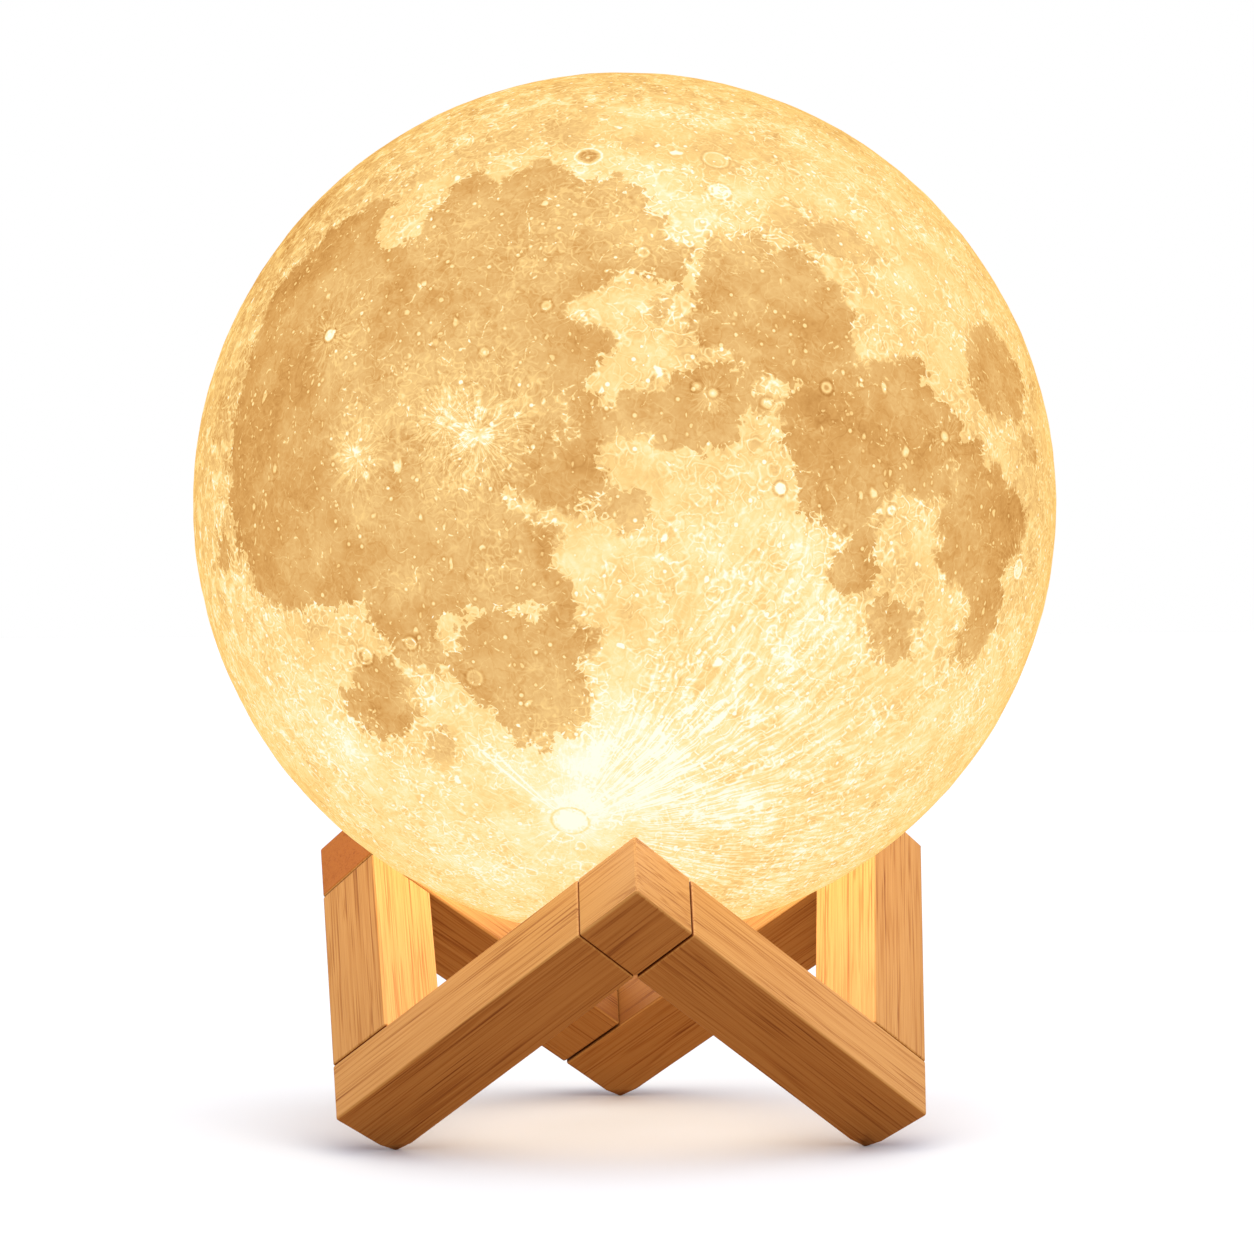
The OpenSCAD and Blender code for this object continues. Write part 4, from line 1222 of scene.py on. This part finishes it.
def makeMetal(name, colour, roughness, brushed=(1.0, 1.0, 0.05)):
    # Metal with fine brushing along one way
    paint = Paint(name)
    place = paint.make("ShaderNodeMapping", {}, {"Vector": paint.objectPlace(), "Scale": brushed})
    lines = paint.noise(place, *metal["brush"]) - 0.5
    stain = paint.noise(paint.objectPlace(), *metal["stain"]) - 0.5
    base = fromSrgb(*colour)
    lineTone, stainTone, middle = metal["tone"]
    share = lines * lineTone + stain * stainTone + middle
    tone = paint.blend(share, base, darkened(base, metal["darker"]))
    paint.bump(lines, *metal["bump"])
    lineGloss, stainGloss = metal["gloss"]
    rough = lines * lineGloss + stain * stainGloss + roughness
    return paint.finish(**{"Base Color": tone, "Metallic": 1.0, "Roughness": rough})


def makeCircuit(name):
    # Circuit board: green varnish, paler copper tracks on a square grid, tinned pads
    paint = Paint(name)
    place = paint.objectPlace()
    lanes = paint.cells(place, board["laneSize"], "Distance", "DISTANCE_TO_EDGE", board["laneRandom"])
    track = paint.step(lanes, *board["trackCut"])
    pads = paint.step(paint.cells(place, board["padSize"]), *board["padCut"])
    fine = paint.noise(place, *board["grain"]) - 0.5
    green = paint.blend(track, fromSrgb(*board["varnish"]), fromSrgb(*board["track"]))
    colour = paint.blend(pads, green, fromSrgb(*board["tin"]))
    paint.bump(track * board["trackHeight"] + pads, *board["bump"])
    uneven, least = board["roughness"]
    return paint.finish(**{"Base Color": colour, "Roughness": fine * uneven + least,
                           "Metallic": pads * board["padMetal"]})


def makeGlowing(name, colour, strength):
    # Chip or dome that shines: a tone that falls off over fine cells
    paint = Paint(name)
    cloudy = paint.noise(paint.objectPlace(), *glowing["cloud"]) - 0.5
    base = fromSrgb(*colour)
    share, middle = glowing["tone"]
    tone = paint.blend(cloudy * share + middle, base, darkened(base, glowing["darker"]))
    paint.material.cycles.emission_sampling = "NONE"
    uneven, least = glowing["roughness"]
    return paint.finish(**{"Base Color": tone, "Roughness": cloudy * uneven + least,
                           "Emission Color": tone, "Emission Strength": strength})


whitePlastic = makeMoulded("whitePlastic", (238, 236, 230), 0.36)
buttonPlastic = makeMoulded("buttonPlastic", (226, 226, 222), 0.3, 0.03)
blackPlastic = makeMoulded("blackPlastic", (26, 26, 28), 0.42)
greySilicone = makeMoulded("greySilicone", (96, 98, 100), 0.62, 0.05)
elasticWeave = makeMoulded("elasticWeave", (70, 68, 66), 0.8, 0.12, 0.0003, 0.00008)
greyFoam = makeMoulded("greyFoam", (84, 84, 88), 0.92, 0.14, 0.0005, 0.0002)
batteryFoil = makeMoulded("batteryFoil", (188, 190, 194), 0.3, 0.06, 0.0008, 0.00003, Metallic=0.85)
redLead = makeMoulded("leadInsulation", (176, 34, 28), 0.4, 0.05)
clearPlastic = makeMoulded("clearPlastic", (222, 236, 240), 0.12, 0.02)
steel = makeMetal("polishedSteel", (206, 206, 208), 0.2)
nickel = makeMetal("nickelSteel", (196, 192, 184), 0.3)
circuit = makeCircuit("circuitBoard")
lampBoard = makeMoulded("lampBoard", (232, 234, 232), 0.3, 0.03, 0.0009)
phosphor = makeGlowing("ledPhosphor", (255, 214, 92), 0.6)
opal = makeGlowing("opalDome", (255, 232, 190), 0.6)

finishes = [
    (whitePlastic, ("shell_collar", "base_cap", "cup_lid")),
    (buttonPlastic, ("power_button",)),
    (blackPlastic, ("socket_tongue", "tact_switch", "switch_plunger")),
    (clearPlastic, ("charge_light",)),
    (greySilicone, ("seal_ring",)),
    (greyFoam, ("battery_pads",)),
    (elasticWeave, ("elastic_cord",)),
    (batteryFoil, ("battery_cell",)),
    (redLead, ("battery_leads", "led_leads")),
    (steel, ("trim_ring", "charge_socket")),
    (nickel, ("cord_ferrule", "board_screws", "lid_screws")),
    (circuit, ("control_board",)),
    (lampBoard, ("led_board",)),
    (phosphor, ("led_chips",)),
    (opal, ("led_diffuser",)),
]
lampParts = []
for material, names in finishes:
    for name in names:
        dress(nodes[name], material)
        lampParts.append(nodes[name])
report("module dressed")


# Floor, light and background

studio = {
    "floorSize": 6.0,
    "floorSteps": 13,
    "floorTone": (0.4, 2.0, 0.5),
    "floorDarker": 0.985,
    "floorRoughness": 0.9,
    "floorSpecular": 0.1,
    "floorColour": (227, 230, 239),
    "floorBounce": (205, 182, 152),
    "skyHigh": 0.72,
    "skyLow": 1.34,
    "skySide": 0.12,
    "skySeen": 1.0,
    "sunStrength": 1.5,
    "sunSpread": 80,
    "sunFrom": (0.16, -0.26, 1.0),
    "glow": 5.2,
    "floorGlow": 2.0,
    "glowColour": (255, 244, 226),
    "floorGlowColour": (255, 242, 222),
    "floorGlowRise": 0.060,
    "floorGlowRadius": 0.03,
}


def makeStudio(values):
    size = values["floorSize"] / 2
    grid = np.linspace(-size, size, values["floorSteps"])
    x, y = np.meshgrid(grid, grid, indexing="ij")
    places = np.stack([x, y, np.zeros_like(x)], -1).reshape(-1, 3)
    index = np.arange(x.size).reshape(x.shape)
    faces = gridFaces(index)
    floor = meshPiece("studioFloor", places, faces)
    paint = Paint("studioFloor")
    soft = paint.noise(paint.objectPlace(), *values["floorTone"]) - 0.5
    base = fromSrgb(*values["floorColour"])
    tone = paint.blend(soft * 0.2 + 0.5, base, darkened(base, values["floorDarker"]))
    # The camera sees one colour, and the stand gets warm light back from another
    toCamera = paint.make("ShaderNodeLightPath", {}, {}, "Is Camera Ray")
    tone = paint.blend(toCamera, fromSrgb(*values["floorBounce"]), tone)
    dress(floor, paint.finish(**{"Base Color": tone, "Roughness": values["floorRoughness"],
                                 "Specular IOR Level": values["floorSpecular"]}))

    world = bpy.data.worlds.new("studioWorld")
    bpy.context.scene.world = world
    # Like a light tent: the walls are brighter than the top, and the right one a little more
    sky = Nodes(world)
    way = sky.make("ShaderNodeTexCoord", {}, {}, "Generated")
    aside, upward = (sky.make("ShaderNodeSeparateXYZ", {}, {0: way}, axis) for axis in ("X", "Z"))
    span = {"Value": upward, "To Min": values["skyLow"], "To Max": values["skyHigh"]}
    tent = aside * values["skySide"] + sky.make("ShaderNodeMapRange", {}, span)
    light, seen = (sky.make("ShaderNodeBackground", {}, {"Color": (1, 1, 1, 1), "Strength": strength})
                   for strength in (tent, values["skySeen"]))
    toCamera = sky.make("ShaderNodeLightPath", {}, {}, "Is Camera Ray")
    mixed = sky.make("ShaderNodeMixShader", {}, {0: toCamera, 1: light, 2: seen})
    sky.make("ShaderNodeOutputWorld", {}, {"Surface": mixed}, None)

    sun = bpy.data.lights.new("keyLight", "SUN")
    sun.energy, sun.angle = values["sunStrength"], math.radians(values["sunSpread"])
    key = addItem("keyLight", sun)
    away = unit(values["sunFrom"])
    side = unit(np.cross([0, 1, 0], away))
    key.matrix_world = aimed(side, np.cross(away, side), away)

    openTo = bpy.data.collections.new("keyLightblockers")
    openTo.objects.link(moonGlobe)
    openTo.collection_objects[0].light_linking.link_state = "EXCLUDE"
    key.light_linking.blocker_collection = openTo

    # Balls of warm light: one fills the globe and shines on the stand, a smaller one below it on the floor
    unlit = [moonGlobe] + lampParts
    lights = (("standGlow", "glow", [floor], globe["radius"] - globe["wall"], globe["middle"][2]),
              ("floorGlow", "floorGlow", bars, values["floorGlowRadius"], values["floorGlowRise"]))
    for name, setting, kept, radius, height in lights:
        ball = bpy.data.lights.new(name, "POINT")
        ball.shadow_soft_size = radius
        ball.energy = values[setting] * 4 * math.pi ** 2 * radius ** 2
        ball.color = fromSrgb(*values[setting + "Colour"])[:3]
        glow = addItem(name, ball)
        glow.location = (0, 0, height)
        glow.visible_camera = False
        for way, pieces in (("receiver_collection", unlit + kept), ("blocker_collection", unlit)):
            group = bpy.data.collections.new(name + way)
            for piece in pieces:
                group.objects.link(piece)
            for entry in group.collection_objects:
                entry.light_linking.link_state = "EXCLUDE"
            setattr(glow.light_linking, way, group)


makeStudio(studio)
bpy.context.scene.view_settings.view_transform = "Standard"
bpy.context.scene.view_settings.look = "None"
report("studio made")
